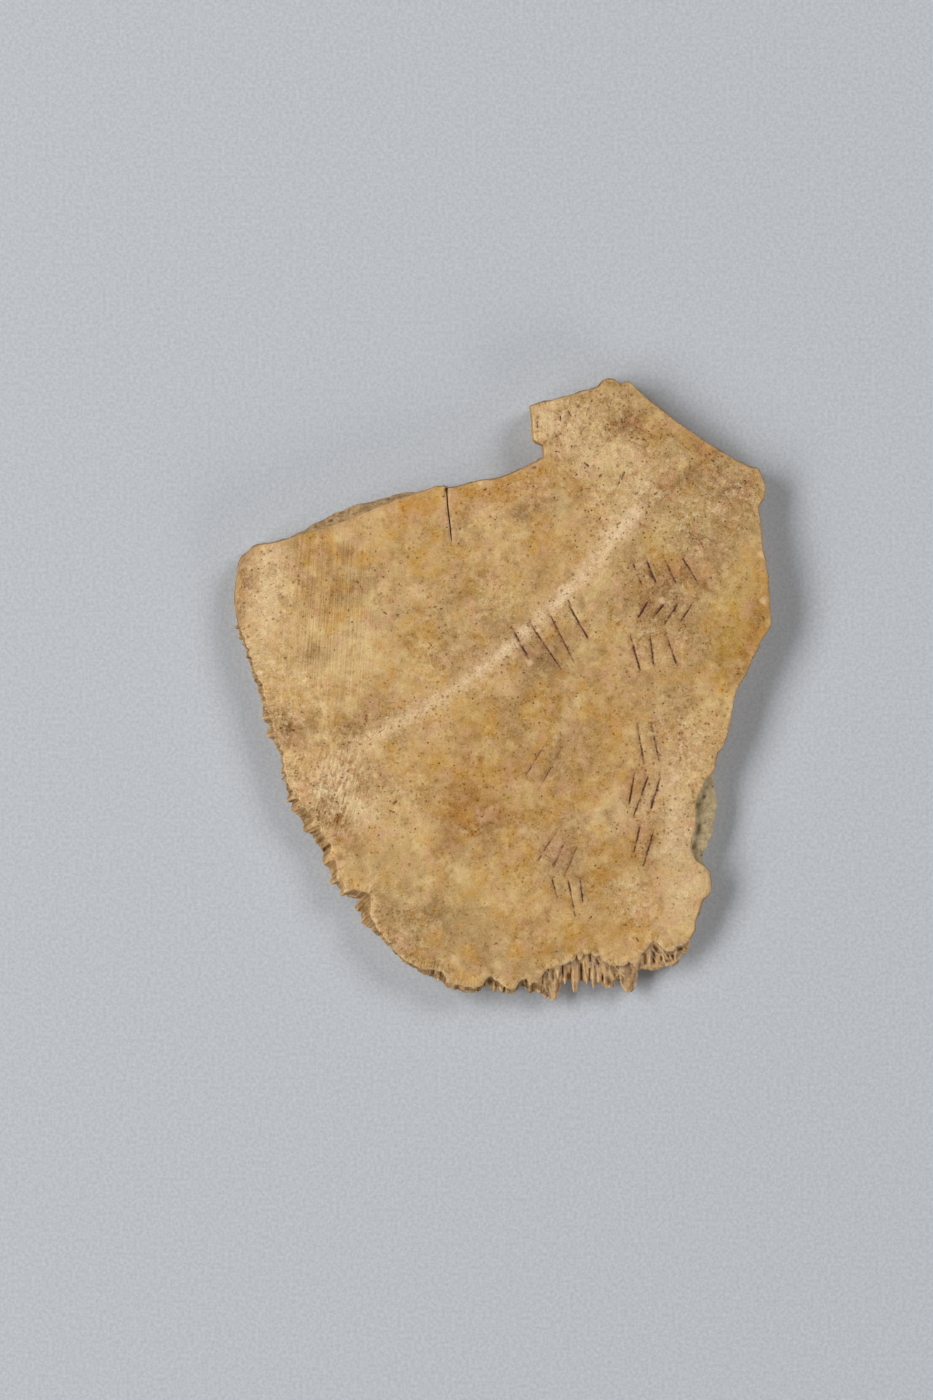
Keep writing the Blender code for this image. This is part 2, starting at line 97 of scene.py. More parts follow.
# Spacing of the mesh's points. The insets are rows inside the edge, each with its own spacing.
# The wall's levels are spaced by the way down it, with some evenness in depth, and are blurred
# along it.
FACE_CELL = 0.265
UNDERSIDE_CELL = 0.5
SUTURE_STEP, PEG_STEP, BREAK_STEP = 0.13, 0.075, 0.22
FACE_GAP, UNDERSIDE_GAP = 0.62 * FACE_CELL, 0.5 * UNDERSIDE_CELL
INSETS = {0.06: 0.045, 0.16: 0.08, 0.32: 0.13, 0.55: 0.17}
UNDERSIDE_INSETS = {0.2: 0.2, 0.5: 0.3}
INSET_CLEARANCE, UNDERSIDE_CLEARANCE = 0.8, 0.15
CUT_GAP, CUT_CLEARANCE = 0.07, 0.08
LEVELS = 31
FINE_LEVELS = 97
LEVEL_EVENNESS = 0.25
LEVEL_BLUR = 0.25
FACING_BLEND = 0.6
KIND_BLEND = 0.5
FRESH_EDGE = 0.16

# How many points are compared with the margin at once, and a distance that nothing reaches.
BLOCK = 2000
FAR = 1e6

# A stretch of the margin, on the face's own edge. roundness is 1 for an arc-like curve and near 0
# for straight runs, edge is the radius to which the face's edge is worn, and facing is the pair of
# directions, in degrees, in which its bone points at its two ends, or None where it is square to
# the edge.
Stretch = namedtuple("Stretch", "name roundness edge points facing step",
                     defaults=(None, BREAK_STEP))
MARGIN = [
    Stretch("worn_corner", 1.0, 1.5, [
        (-24.5, 14.4), (-25.5, 13.6), (-26.1, 12.9), (-26.5, 10.6), (-26.55, 8.6)]),
    Stretch("left_suture", 0.6, 0.7, [
        (-26.15, 6.4), (-25.3, 4.2), (-24.75, 2.4), (-23.9, 0.4), (-23.35, -1.8), (-22.85, -3.6),
        (-22.05, -5.6), (-21.6, -8.0), (-21.1, -9.8), (-20.2, -11.1), (-19.2, -12.1),
        (-18.3, -13.1), (-17.8, -14.3), (-17.1, -15.3), (-16.8, -16.6),
        (-16.2, -18.0)], (180, 222), SUTURE_STEP),
    Stretch("foot_notch", 0.3, 0.25, [
        (-15.5, -19.6), (-13.0, -20.35), (-13.1, -22.2)], (222, 226), SUTURE_STEP),
    Stretch("lower_left_suture", 0.6, 0.3, [
        (-12.7, -23.3), (-11.45, -24.9), (-10.1, -26.6)], (226, 255), SUTURE_STEP),
    Stretch("bottom_suture", 0.6, 0.22, [
        (-8.3, -27.7), (-6.8, -27.9), (-5.9, -28.1), (-5.3, -29.1), (-3.5, -29.6), (-2.1, -29.55),
        (-1.35, -28.7), (-0.4, -29.0), (0.4, -29.7), (1.35, -29.75), (1.85, -29.0), (2.4, -28.8),
        (2.9, -29.45)], (255, 268), SUTURE_STEP),
    Stretch("peg_row", 0.6, 0.2, [
        (3.6, -29.2), (4.4, -28.0), (6.2, -27.4), (7.3, -26.7), (8.4, -26.3), (9.6, -26.6),
        (11.3, -27.6), (12.6, -27.3)], (268, 274), PEG_STEP),
    Stretch("honeycomb_corner", 0.5, 0.15, [
        (13.6, -27.3), (14.0, -26.3), (15.2, -25.0), (15.8, -25.4), (16.6, -26.05), (17.1, -26.05),
        (17.5, -25.6), (18.3, -25.4)], (276, 298), PEG_STEP),
    Stretch("right_foot", 0.5, 0.12, [(18.7, -24.9), (19.3, -23.9), (19.4, -23.0), (19.7, -22.0)]),
    Stretch("knob", 1.0, 0.25, [
        (20.05, -20.95), (20.5, -20.6), (20.85, -20.1), (20.9, -19.2), (20.7, -18.2)]),
    Stretch("flake", 0.5, 0.06, [
        (20.2, -17.5), (19.4, -17.0), (18.95, -16.0), (18.95, -15.0), (19.35, -13.6), (19.4, -11.2),
        (19.9, -10.0), (20.4, -8.8)]),
    Stretch("right_edge", 0.4, 0.07, [
        (21.2, -7.9), (21.5, -6.2), (22.15, -5.5), (22.8, -3.2), (23.35, -0.2), (24.5, 2.0),
        (25.9, 5.0), (26.85, 6.6), (26.7, 8.6), (26.45, 12.2), (26.0, 14.2), (25.85, 16.6),
        (25.6, 18.2), (26.1, 19.2), (26.35, 20.2), (25.95, 21.4)]),
    Stretch("upper_right_break", 0.25, 0.07, [
        (25.6, 22.1), (24.8, 22.2), (21.9, 23.8), (18.0, 26.4), (14.5, 29.1)]),
    Stretch("crown", 0.6, 0.12, [
        (12.7, 30.75), (11.9, 30.6), (11.2, 30.95), (10.6, 31.05), (10.15, 30.8)]),
    Stretch("lobe_edge", 0.2, 0.06, [(9.7, 30.25), (6.2, 29.2)]),
    Stretch("lobe_notch", 0.3, 0.07, [(3.0, 28.3), (3.15, 26.8), (3.25, 25.0), (4.2, 24.45)]),
    Stretch("top_edge", 0.3, 0.07, [
        (4.25, 23.2), (1.5, 21.75), (-0.5, 21.0), (-2.2, 20.85), (-4.0, 20.35), (-5.25, 20.15),
        (-5.75, 20.3), (-6.7, 20.2)]),
    Stretch("bevelled_break", 0.5, 0.06, [
        (-8.6, 19.55), (-11.0, 18.75), (-15.4, 16.95), (-18.2, 15.95), (-20.6, 15.3),
        (-22.6, 14.7)]),
]
NAMES = [stretch.name for stretch in MARGIN]
PEGGED = ("peg_row", "honeycomb_corner")
KIND_STRETCHES = {"pegged": PEGGED, "flaked": ("flake",), "bevelled": ("bevelled_break",)}

# How uneven the face's edge is, at the sutures and at the breaks.
SCALLOPS = ((0.1, 0.6, 11.0), (0.05, 0.25, 12.0))
CRUMBLE = ((0.05, 0.9, 13.0), (0.035, 0.4, 14.0))
WORN_CRUMBLE = 0.4

# How far the wall swells out at mid depth, and how rough it is: coarse, fine and grit, each with
# the size and seed of its noise.
WALL_SWELL = 0.15
WALL_NOISE = ((1.6, 3.0), (0.5, 4.0), (0.2, 5.0))
SUTURE_ROUGHNESS, SUTURE_FINE, SUTURE_GRIT = 0.2, 0.13, 0.06
BREAK_ROUGHNESS, BREAK_FINE, BREAK_GRIT = 0.15, 0.08, 0.05
PEG_SMOOTHING = 0.65

# The open cells of the inner bone: their depth, the parts of the wall's depth where they start and
# end, the size and seed of their noise and their patches, the noise between which a patch fills
# with them, and how far from its middle a cell ends.
SUTURE_CELL_DEPTH, BREAK_CELL_DEPTH = 0.12, 0.28
CELLS_START, CELLS_END = (0.16, 0.3), (0.72, 0.88)
CELL_NOISE, CELL_PATCHES = (0.62, 9.0), (2.2, 10.0)
CELL_COVER, CELL_RIM = (-0.35, 0.3), (0.12, 0.42)

# Where deeper bone stands out past the face's edge: how far, at even steps along the stretch, and
# between which parts of the depth it comes out.
Ledge = namedtuple("Ledge", "amounts start end")
LEDGES = {
    "bevelled_break": Ledge((0.15, 0.4, 0.6, 0.75, 1.05, 0.95, 0.85, 0.6, 0.25, 0, 0, 0),
                            0.02, 0.45),
    "flake": Ledge((0, 1.0, 1.65, 1.7, 1.6, 1.95, 2.0, 1.45, 0.8, 0), 0.18, 0.3),
    "honeycomb_corner": Ledge((0.4, 1.2, 2.1, 2.7, 2.2, 1.5, 1.15, 0.7, 0.05), 0.0, 0.4),
    "peg_row": Ledge((0.8, 1.9, 2.0, 1.4, 1.8, 2.7, 2.7, 2.2, 1.3, 1.3, 0.5), 0.0, 0.38),
    "foot_notch": Ledge((0.5, 0.9, 0.6, 1.2, 1.1, 0.7), 0.03, 0.4),
    "left_suture": Ledge((0, 0.15, 0.2, 0.35, 0.4, 0.05, 0.3, 0.95, 0.95, 0.75, 0.5), 0.02, 0.35),
    "lower_left_suture": Ledge((0.5, 0.25, 0.1, 0.1, 0.15), 0.02, 0.4),
    "bottom_suture": Ledge((0.1, 0.6, 0.8, 0.35, 0.35, 0.3, 0.9, 0.6, 0.15, 0.7, 0.6), 0.03, 0.35),
}
LEDGE_ROUGHNESS = ((0.12, 1.2, 7.0),)

# Teeth of the sutures that stand out: the tip, half the width, the part of the depth at the
# tooth's middle, half its height as a part of the depth, and how blunt it is (1 is a cone).
Tooth = namedtuple("Tooth", "tip half_width level half_height bluntness")
TEETH = [Tooth(*row) for row in (
    ((-24.35, -0.1), 0.5, 0.45, 0.35, 1.2), ((-23.9, -2.85), 0.9, 0.4, 0.4, 2.0),
    ((-23.5, -4.6), 0.9, 0.42, 0.4, 2.0), ((-21.6, -11.2), 0.6, 0.3, 0.4, 1.5),
    ((-20.95, -12.1), 0.9, 0.32, 0.4, 2.4), ((-19.75, -14.15), 1.1, 0.32, 0.4, 2.0),
    ((-18.05, -15.8), 0.6, 0.35, 0.35, 1.6), ((-17.8, -17.4), 1.1, 0.28, 0.4, 2.4),
    ((-17.15, -19.4), 1.0, 0.28, 0.4, 1.2), ((-16.1, -20.5), 0.9, 0.26, 0.4, 1.4),
    ((-14.5, -22.1), 1.1, 0.5, 0.4, 1.8), ((-6.4, -29.2), 0.7, 0.4, 0.35, 1.4),
    ((-4.9, -29.95), 0.6, 0.45, 0.35, 1.4), ((-3.0, -30.25), 0.9, 0.45, 0.4, 1.8),
    ((-0.8, -30.2), 0.9, 0.45, 0.35, 1.6), ((1.3, -30.2), 0.7, 0.45, 0.35, 1.4),
    ((2.5, -29.95), 0.5, 0.4, 0.35, 1.2), ((5.15, -31.2), 1.3, 0.52, 0.43, 1.7),
    ((4.45, -30.8), 1.0, 0.57, 0.38, 2.0), ((5.65, -28.75), 0.36, 0.08, 0.14, 2.0),
    ((6.35, -29.35), 0.55, 0.32, 0.28, 1.5), ((7.4, -30.3), 0.5, 0.45, 0.4, 3.0),
    ((7.85, -26.95), 0.3, 0.06, 0.12, 3.0), ((8.6, -29.5), 0.55, 0.47, 0.38, 1.6),
    ((9.25, -29.8), 0.42, 0.49, 0.4, 2.6), ((9.85, -29.3), 0.45, 0.47, 0.38, 4.0),
    ((10.7, -29.75), 0.85, 0.67, 0.4, 9.0), ((10.5, -28.3), 0.6, 0.32, 0.28, 3.0),
    ((11.35, -28.95), 0.5, 0.37, 0.28, 1.6), ((12.8, -30.25), 1.2, 0.57, 0.46, 2.8),
)]
TOOTH_REACH = 4.0
FLUTE_PITCH, FLUTE_DEPTH, FLUTE_SEED = 0.4, 0.12, 0.3

# How square a tooth is in section: 1 is a diamond with a ridge down its top, and 3 nearly a box.
BLOCK_BLUNTNESS = 3.0
BLOCK_CORNER, RIDGE_CORNER = 2.6, 1.25

# Lines down the sides of all teeth, between the reaches at which they start and are full.
TOOTH_LINES = ((0.12, 0.17, 6.0),)
LINED_REACH = (0.5, 1.5)

# The little teeth between them, in rows down the depth: level, least and most reach.
LITTLE_TEETH = [(0.12, 0.05, 0.45), (0.3, 0.25, 0.9), (0.52, 0.3, 1.0), (0.8, 0.2, 0.6)]
LITTLE_PITCH = (0.55, 1.5)
LITTLE_WANDER = 0.05
LITTLE_HALF_WIDTH = (0.2, 0.5)
LITTLE_HALF_HEIGHT = 0.16
LITTLE_BLUNTNESS = 2.0
LITTLE_SCALE = {"left_suture": 0.8, "foot_notch": 0.4, "lower_left_suture": 0.3,
                "bottom_suture": 0.45, "peg_row": 0.8}

# The gaps between them, which also notch the face's edge: pitch, half width, depth and how far
# they cut in.
GAP_PITCH = (0.7, 2.1)
GAP_HALF_WIDTH = (0.09, 0.22)
GAP_DEPTH = (0.15, 0.6)
GAP_NOTCH = (0.0, 0.22)
GAP_LENGTH = 0.9
GAP_SHADE = 0.35
NOTCH_SPREAD = 1.3

# Hollows in the upper sides of the pegs, the honeycomb and the broken walls, between thin crests:
# the two ends of each one's middle line, half its width, its depth and how much painted shade it
# gets.
Dip = namedtuple("Dip", "head tail half_width depth shade")
DIPS = [Dip(*row) for row in (
    ((3.5, -29.6), (4.1, -29.9), 0.3, 0.3, 0.6), ((5.15, -28.25), (5.2, -28.9), 0.15, 0.4, 0.7),
    ((4.7, -28.6), (4.95, -30.0), 0.3, 0.2, 0.3), ((5.7, -29.0), (5.6, -30.2), 0.16, 0.2, 0.5),
    ((6.5, -27.6), (6.55, -28.6), 0.3, 0.2, 0.35), ((7.0, -27.9), (6.95, -28.9), 0.12, 0.3, 0.4),
    ((7.42, -29.2), (7.4, -29.9), 0.08, 0.1, 0.4), ((7.95, -27.4), (7.95, -29.4), 0.22, 0.4, 0.6),
    ((8.85, -27.8), (8.8, -29.2), 0.15, 0.35, 0.7), ((9.0, -26.9), (9.05, -27.4), 0.1, 0.2, 0.5),
    ((9.6, -26.95), (9.75, -27.3), 0.22, 0.5, 1.0),
    ((10.15, -28.55), (10.15, -28.95), 0.16, 0.4, 0.9),
    ((10.7, -28.95), (10.95, -29.35), 0.34, 0.35, 0.6),
    ((11.15, -27.9), (11.4, -28.6), 0.3, 0.2, 0.45),
    ((11.8, -28.6), (11.75, -29.3), 0.12, 0.4, 0.6),
    ((12.75, -27.5), (12.85, -28.4), 0.36, 0.3, 0.5),
    ((12.3, -28.95), (12.55, -29.6), 0.26, 0.2, 0.45),
    ((-7.7, -28.4), (-7.0, -28.6), 0.2, 0.3, 0.5), ((-6.0, -28.3), (-5.6, -29.3), 0.34, 0.5, 0.6),
    ((-1.1, -29.0), (-0.1, -29.4), 0.42, 0.6, 0.6), ((2.0, -29.2), (2.2, -29.7), 0.22, 0.5, 0.5),
    ((-3.4, -29.9), (-2.7, -30.0), 0.2, 0.3, 0.4), ((0.6, -29.8), (1.1, -30.0), 0.2, 0.3, 0.4),
    ((14.25, -26.5), (14.35, -27.2), 0.34, 0.5, 0.45),
    ((15.15, -26.3), (15.3, -27.1), 0.32, 0.6, 0.5),
    ((15.25, -25.6), (15.6, -25.95), 0.3, 0.6, 0.8), ((16.0, -26.7), (16.0, -26.9), 0.2, 0.4, 0.6),
    ((16.5, -27.1), (16.9, -27.05), 0.16, 0.35, 0.6),
    ((16.62, -26.5), (16.72, -26.7), 0.14, 0.4, 0.8), ((17.1, -26.5), (17.2, -26.8), 0.2, 0.5, 0.8),
    ((17.5, -25.9), (17.95, -25.85), 0.24, 0.5, 0.6),
    ((18.3, -25.6), (18.45, -25.8), 0.14, 0.3, 0.4),
    ((16.5, -25.75), (16.8, -25.9), 0.15, 0.3, 0.4),
    ((20.2, -10.6), (20.2, -10.75), 0.28, 0.4, 0.7),
    ((19.55, -11.4), (19.5, -11.6), 0.22, 0.4, 0.6),
    ((20.6, -11.5), (20.65, -11.6), 0.16, 0.3, 0.6), ((19.7, -13.5), (19.6, -14.2), 0.22, 0.4, 0.6),
    ((20.3, -12.9), (20.35, -13.1), 0.12, 0.2, 0.5),
    ((19.15, -15.5), (19.15, -15.8), 0.2, 0.3, 0.6), ((19.9, -16.0), (19.9, -16.2), 0.13, 0.2, 0.5),
    ((20.4, -14.8), (20.45, -14.9), 0.14, 0.2, 0.5),
    ((-17.2, 16.95), (-16.95, 17.0), 0.2, 0.3, 0.9),
    ((-14.75, 17.6), (-14.6, 17.65), 0.14, 0.2, 0.9),
    ((-13.6, 18.25), (-13.0, 18.45), 0.1, 0.15, 0.6),
    ((-18.7, 16.3), (-18.5, 16.35), 0.14, 0.2, 0.7), ((-16.4, 17.5), (-15.6, 17.8), 0.1, 0.15, 0.6),
    ((-12.2, 18.6), (-11.9, 18.7), 0.12, 0.15, 0.7),
)]
DIP_DEPTH, DIP_SHADE = 0.65, 0.62
LEAST_HEIGHT = 0.15

# Thin crests between them: the middle line of each, and how far it stands up, from 0 to 1.
CRESTS = [
    ([(3.3, -29.95), (4.0, -30.4), (5.1, -31.1)], 0.8),
    ([(4.2, -28.3), (4.3, -29.3), (4.6, -30.2)], 0.6),
    ([(4.55, -28.0), (4.75, -28.3), (4.85, -28.9)], 0.8),
    ([(5.4, -29.0), (5.35, -30.6), (5.2, -31.0)], 0.9), ([(5.65, -28.0), (5.65, -28.7)], 1.0),
    ([(5.95, -29.4), (5.5, -30.8)], 0.4), ([(6.3, -28.4), (6.35, -29.3)], 0.9),
    ([(6.4, -27.3), (6.9, -28.2)], 0.4), ([(7.2, -27.6), (7.2, -30.1)], 0.7),
    ([(7.6, -27.4), (7.65, -29.6)], 0.9), ([(7.85, -26.6), (7.85, -26.9)], 1.0),
    ([(8.2, -27.1), (8.3, -28.0), (8.6, -29.4)], 0.8), ([(8.5, -27.1), (8.75, -27.6)], 0.5),
    ([(9.2, -27.7), (9.25, -29.75)], 1.0), ([(9.05, -27.3), (9.45, -26.65), (9.9, -27.2)], 0.7),
    ([(9.6, -27.6), (9.7, -29.2)], 0.5),
    ([(10.2, -27.4), (10.8, -27.6), (10.9, -28.3), (10.5, -28.5)], 0.7),
    ([(10.0, -29.4), (10.15, -29.72), (11.35, -29.72), (11.4, -28.9)], 0.9),
    ([(11.0, -28.4), (11.3, -28.9), (11.7, -28.3)], 0.6), ([(10.3, -28.5), (10.35, -29.3)], 0.5),
    ([(11.4, -27.65), (12.0, -28.35), (12.7, -28.85)], 0.9),
    ([(11.9, -28.6), (12.05, -29.5), (12.5, -30.1), (12.8, -30.2)], 1.0),
    ([(12.8, -30.2), (13.2, -29.6), (13.5, -28.6)], 0.5),
    ([(12.7, -28.9), (13.1, -28.6), (13.25, -27.9)], 0.5), ([(14.84, -25.8), (14.84, -27.5)], 0.8),
    ([(14.2, -26.5), (14.2, -27.5)], 0.4), ([(14.84, -26.1), (15.6, -27.3)], 0.9),
    ([(15.6, -25.5), (16.4, -26.4), (16.7, -26.9)], 0.9), ([(14.2, -27.6), (16.7, -27.6)], 0.45),
    ([(16.7, -27.6), (17.6, -27.0), (18.15, -26.2)], 0.5), ([(16.1, -26.4), (16.3, -27.1)], 0.7),
    ([(16.7, -26.8), (17.35, -26.8), (17.5, -25.8)], 0.8), ([(17.2, -25.6), (18.2, -25.5)], 0.6),
    ([(-0.75, -29.2), (-0.7, -30.0)], 0.9), ([(-3.5, -30.1), (-2.5, -30.1)], 0.7),
    ([(2.45, -29.2), (2.45, -29.85)], 0.8), ([(-4.8, -29.4), (-4.8, -29.85)], 0.7),
    ([(-6.1, -29.0), (-5.5, -29.6)], 0.6), ([(-17.9, -17.5), (-16.7, -16.8)], 0.8),
    ([(-17.1, -19.4), (-16.2, -18.9)], 1.0), ([(-16.5, -18.2), (-15.8, -19.7)], 0.6),
    ([(-14.4, -22.2), (-14.3, -20.7), (-15.7, -20.4)], 0.7),
    ([(-20.9, -12.5), (-20.0, -12.1)], 0.7), ([(-19.7, -14.4), (-18.8, -14.0)], 0.8),
    ([(-24.0, -2.9), (-23.2, -2.7)], 0.6), ([(-23.5, -4.7), (-22.7, -4.4)], 0.6),
]
CREST_HALF_WIDTH, CREST_HEIGHT = 0.12, 0.2

# The parts of the wall's depth where dips and crests start and where both fade out, and how far
# from its head either can reach.
DIP_START, CREST_START, SIDES_END = 0.05, 0.04, (0.85, 0.5)
PATH_REACH = 5.0

# The crack in from the top edge, with the parts of Y over which it widens and ends, and the
# hairlines, each with how dark it is.
CRACK = [(-5.5, 20.6), (-5.35, 18.3), (-5.1, 16.2), (-4.95, 14.6)]
CRACK_HALF_WIDTH, CRACK_DEPTH = 0.09, 0.35
CRACK_MOUTH, CRACK_END = (19.4, 20.4), (14.2, 16.0)
HAIRLINES = [
    ([(15.9, 18.9), (18.3, 21.2), (21.4, 23.8)], 0.24),
    ([(20.8, 21.7), (22.3, 19.6), (23.3, 18.0)], 0.18),
    ([(18.8, 15.7), (19.7, 15.0), (20.1, 14.3)], 0.42),
    ([(19.7, 15.0), (20.5, 15.3), (20.9, 14.9)], 0.42),
    ([(13.1, 17.1), (15.3, 15.9), (17.8, 14.3)], 0.18),
    ([(-16.3, -13.4), (-15.5, -9.9), (-15.1, -7.2)], 0.3),
    ([(12.8, 24.9), (14.0, 24.4), (14.6, 23.7)], 0.35),
]
HAIRLINE_HALF_WIDTH, HAIRLINE_DEPTH = 0.08, 0.06
HAIRLINE_COVER, HAIRLINE_LEAST_INK, HAIRLINE_HALO = 0.3, 0.2, 0.3

# The pits that stand out on the face, each a short line of the given length and half width, sunk
# and given painted shade.
Pit = namedtuple("Pit", "x y length width turn")
PITS = [Pit(*row) for row in (
    (6.8, 27.6, 0.5, 0.12, -60), (5.9, 27.1, 0.4, 0.1, 90), (3.6, 26.5, 0.6, 0.12, 90),
    (5.5, 23.8, 0.2, 0.13, 0), (3.3, 22.2, 0.3, 0.13, 20), (8.5, 22.5, 0.5, 0.16, -40),
    (7.5, 21.5, 0.2, 0.1, 40), (9.9, 21.4, 0.3, 0.13, 45), (12.2, 21.5, 0.6, 0.1, 72),
    (11.7, 20.6, 0.4, 0.08, 60), (14.1, 22.8, 0.1, 0.11, 0), (13.5, 19.6, 0.3, 0.1, 30),
    (15.4, 19.6, 0.3, 0.12, 30), (8.7, 17.8, 0.1, 0.13, 0), (9.8, 17.1, 0.3, 0.12, 60),
    (11.7, 16.6, 0.5, 0.1, 30), (5.3, 19.2, 0.1, 0.1, 0), (3.2, 20.3, 0.1, 0.12, 0),
    (2.9, 14.3, 0.1, 0.11, 0), (13.0, 25.2, 0.2, 0.1, 0), (13.6, 25.1, 0.2, 0.12, 20),
    (14.3, 25.0, 0.2, 0.1, -20), (14.1, 18.2, 0.1, 0.1, 0), (14.5, 17.7, 0.2, 0.1, 60),
    (12.0, 27.0, 0.1, 0.1, 0), (14.7, 25.8, 0.1, 0.12, 0), (-1.6, 20.0, 0.2, 0.14, 30),
    (0.7, 20.5, 0.1, 0.1, 0), (-0.6, 17.0, 0.1, 0.11, 0), (-23.0, 13.9, 0.2, 0.14, 10),
    (-23.9, 13.8, 0.1, 0.1, 0), (-11.6, 7.7, 0.3, 0.1, -30), (-10.3, 7.5, 0.2, 0.12, 0),
    (-6.6, 8.3, 0.3, 0.1, 10), (-6.0, 8.1, 0.2, 0.1, 0), (6.8, 8.7, 0.6, 0.15, -60),
    (20.9, 11.2, 0.1, 0.1, 0), (-6.2, -7.3, 0.1, 0.11, 0), (-1.9, -12.6, 0.1, 0.12, 0),
    (-10.6, -11.2, 0.4, 0.16, 40), (-10.9, -12.1, 0.5, 0.13, -20), (-12.2, -9.6, 0.1, 0.1, 0),
    (14.4, -8.0, 0.1, 0.1, 0), (16.2, -11.4, 0.1, 0.11, 0), (13.6, -24.9, 0.4, 0.1, -60),
)]
PIT_DEPTH, PIT_SHADE, PIT_SHADE_FALL = 0.2, 0.42, 0.7

# The incised strokes, in rows: the first stroke's head, the step to the next, the stroke itself,
# how many there are and how dark they are. Each stroke is then shifted, turned, made shorter or
# longer and made paler by a random amount within the limits given.
Row = namedtuple("Row", "head step stroke count ink")
ROWS = [
    Row((12.9, 13.0), (1.7, 0.1), (1.5, -3.0), 4, 1.0),
    Row((14.6, 8.9), (1.5, -0.1), (-1.6, -2.3), 4, 1.0),
    Row((13.0, 5.4), (1.7, 0.2), (1.0, -4.3), 3, 0.9),
    Row((0.9, 6.2), (1.9, 0.8), (3.0, -5.2), 4, 1.0),
    Row((13.4, -3.2), (1.5, 0.2), (0.9, -3.9), 2, 0.75),
    Row((13.2, -8.2), (1.4, -0.2), (-0.9, -3.8), 3, 1.0),
    Row((13.9, -13.2), (1.4, -0.6), (-0.8, -4.4), 2, 1.0),
    Row((5.0, -14.8), (1.4, -0.3), (-1.4, -2.6), 3, 0.75),
    Row((5.0, -18.6), (1.5, -0.1), (0.7, -3.4), 3, 0.95),
    Row((4.2, -5.4), (1.8, -0.3), (-2.6, -3.9), 2, 0.55),
]
STROKE_SHIFT, STROKE_TURN = (-0.18, 0.18), (-0.12, 0.12)
STROKE_LENGTH, STROKE_INK = (0.62, 1.12), (0.65, 1.0)
STROKE_HALF_WIDTH, STROKE_DEPTH, STROKE_STEP = 0.16, 0.15, 0.12

# How a stroke fades to its ends, less so at its tail, how its width and its line waver, how patchy
# the dark in it is, and how wide the stain round it is.
STROKE_TAPER = (0.35, 3.2, 0.4)
STROKE_WIDTHS = ((0.5, 0.4, 29.0),)
STROKE_SHAKE = (0.1, 0.8, (33.0, 34.0))
INK_PATCHES = ((0.9, 1.1, 26.0), (0.5, 0.35, 27.0))
INK_COVER, LEAST_INK = 0.35, 0.15
HALO_WIDTH = 0.6

# --- finish ---------------------------------------------------------------------------------

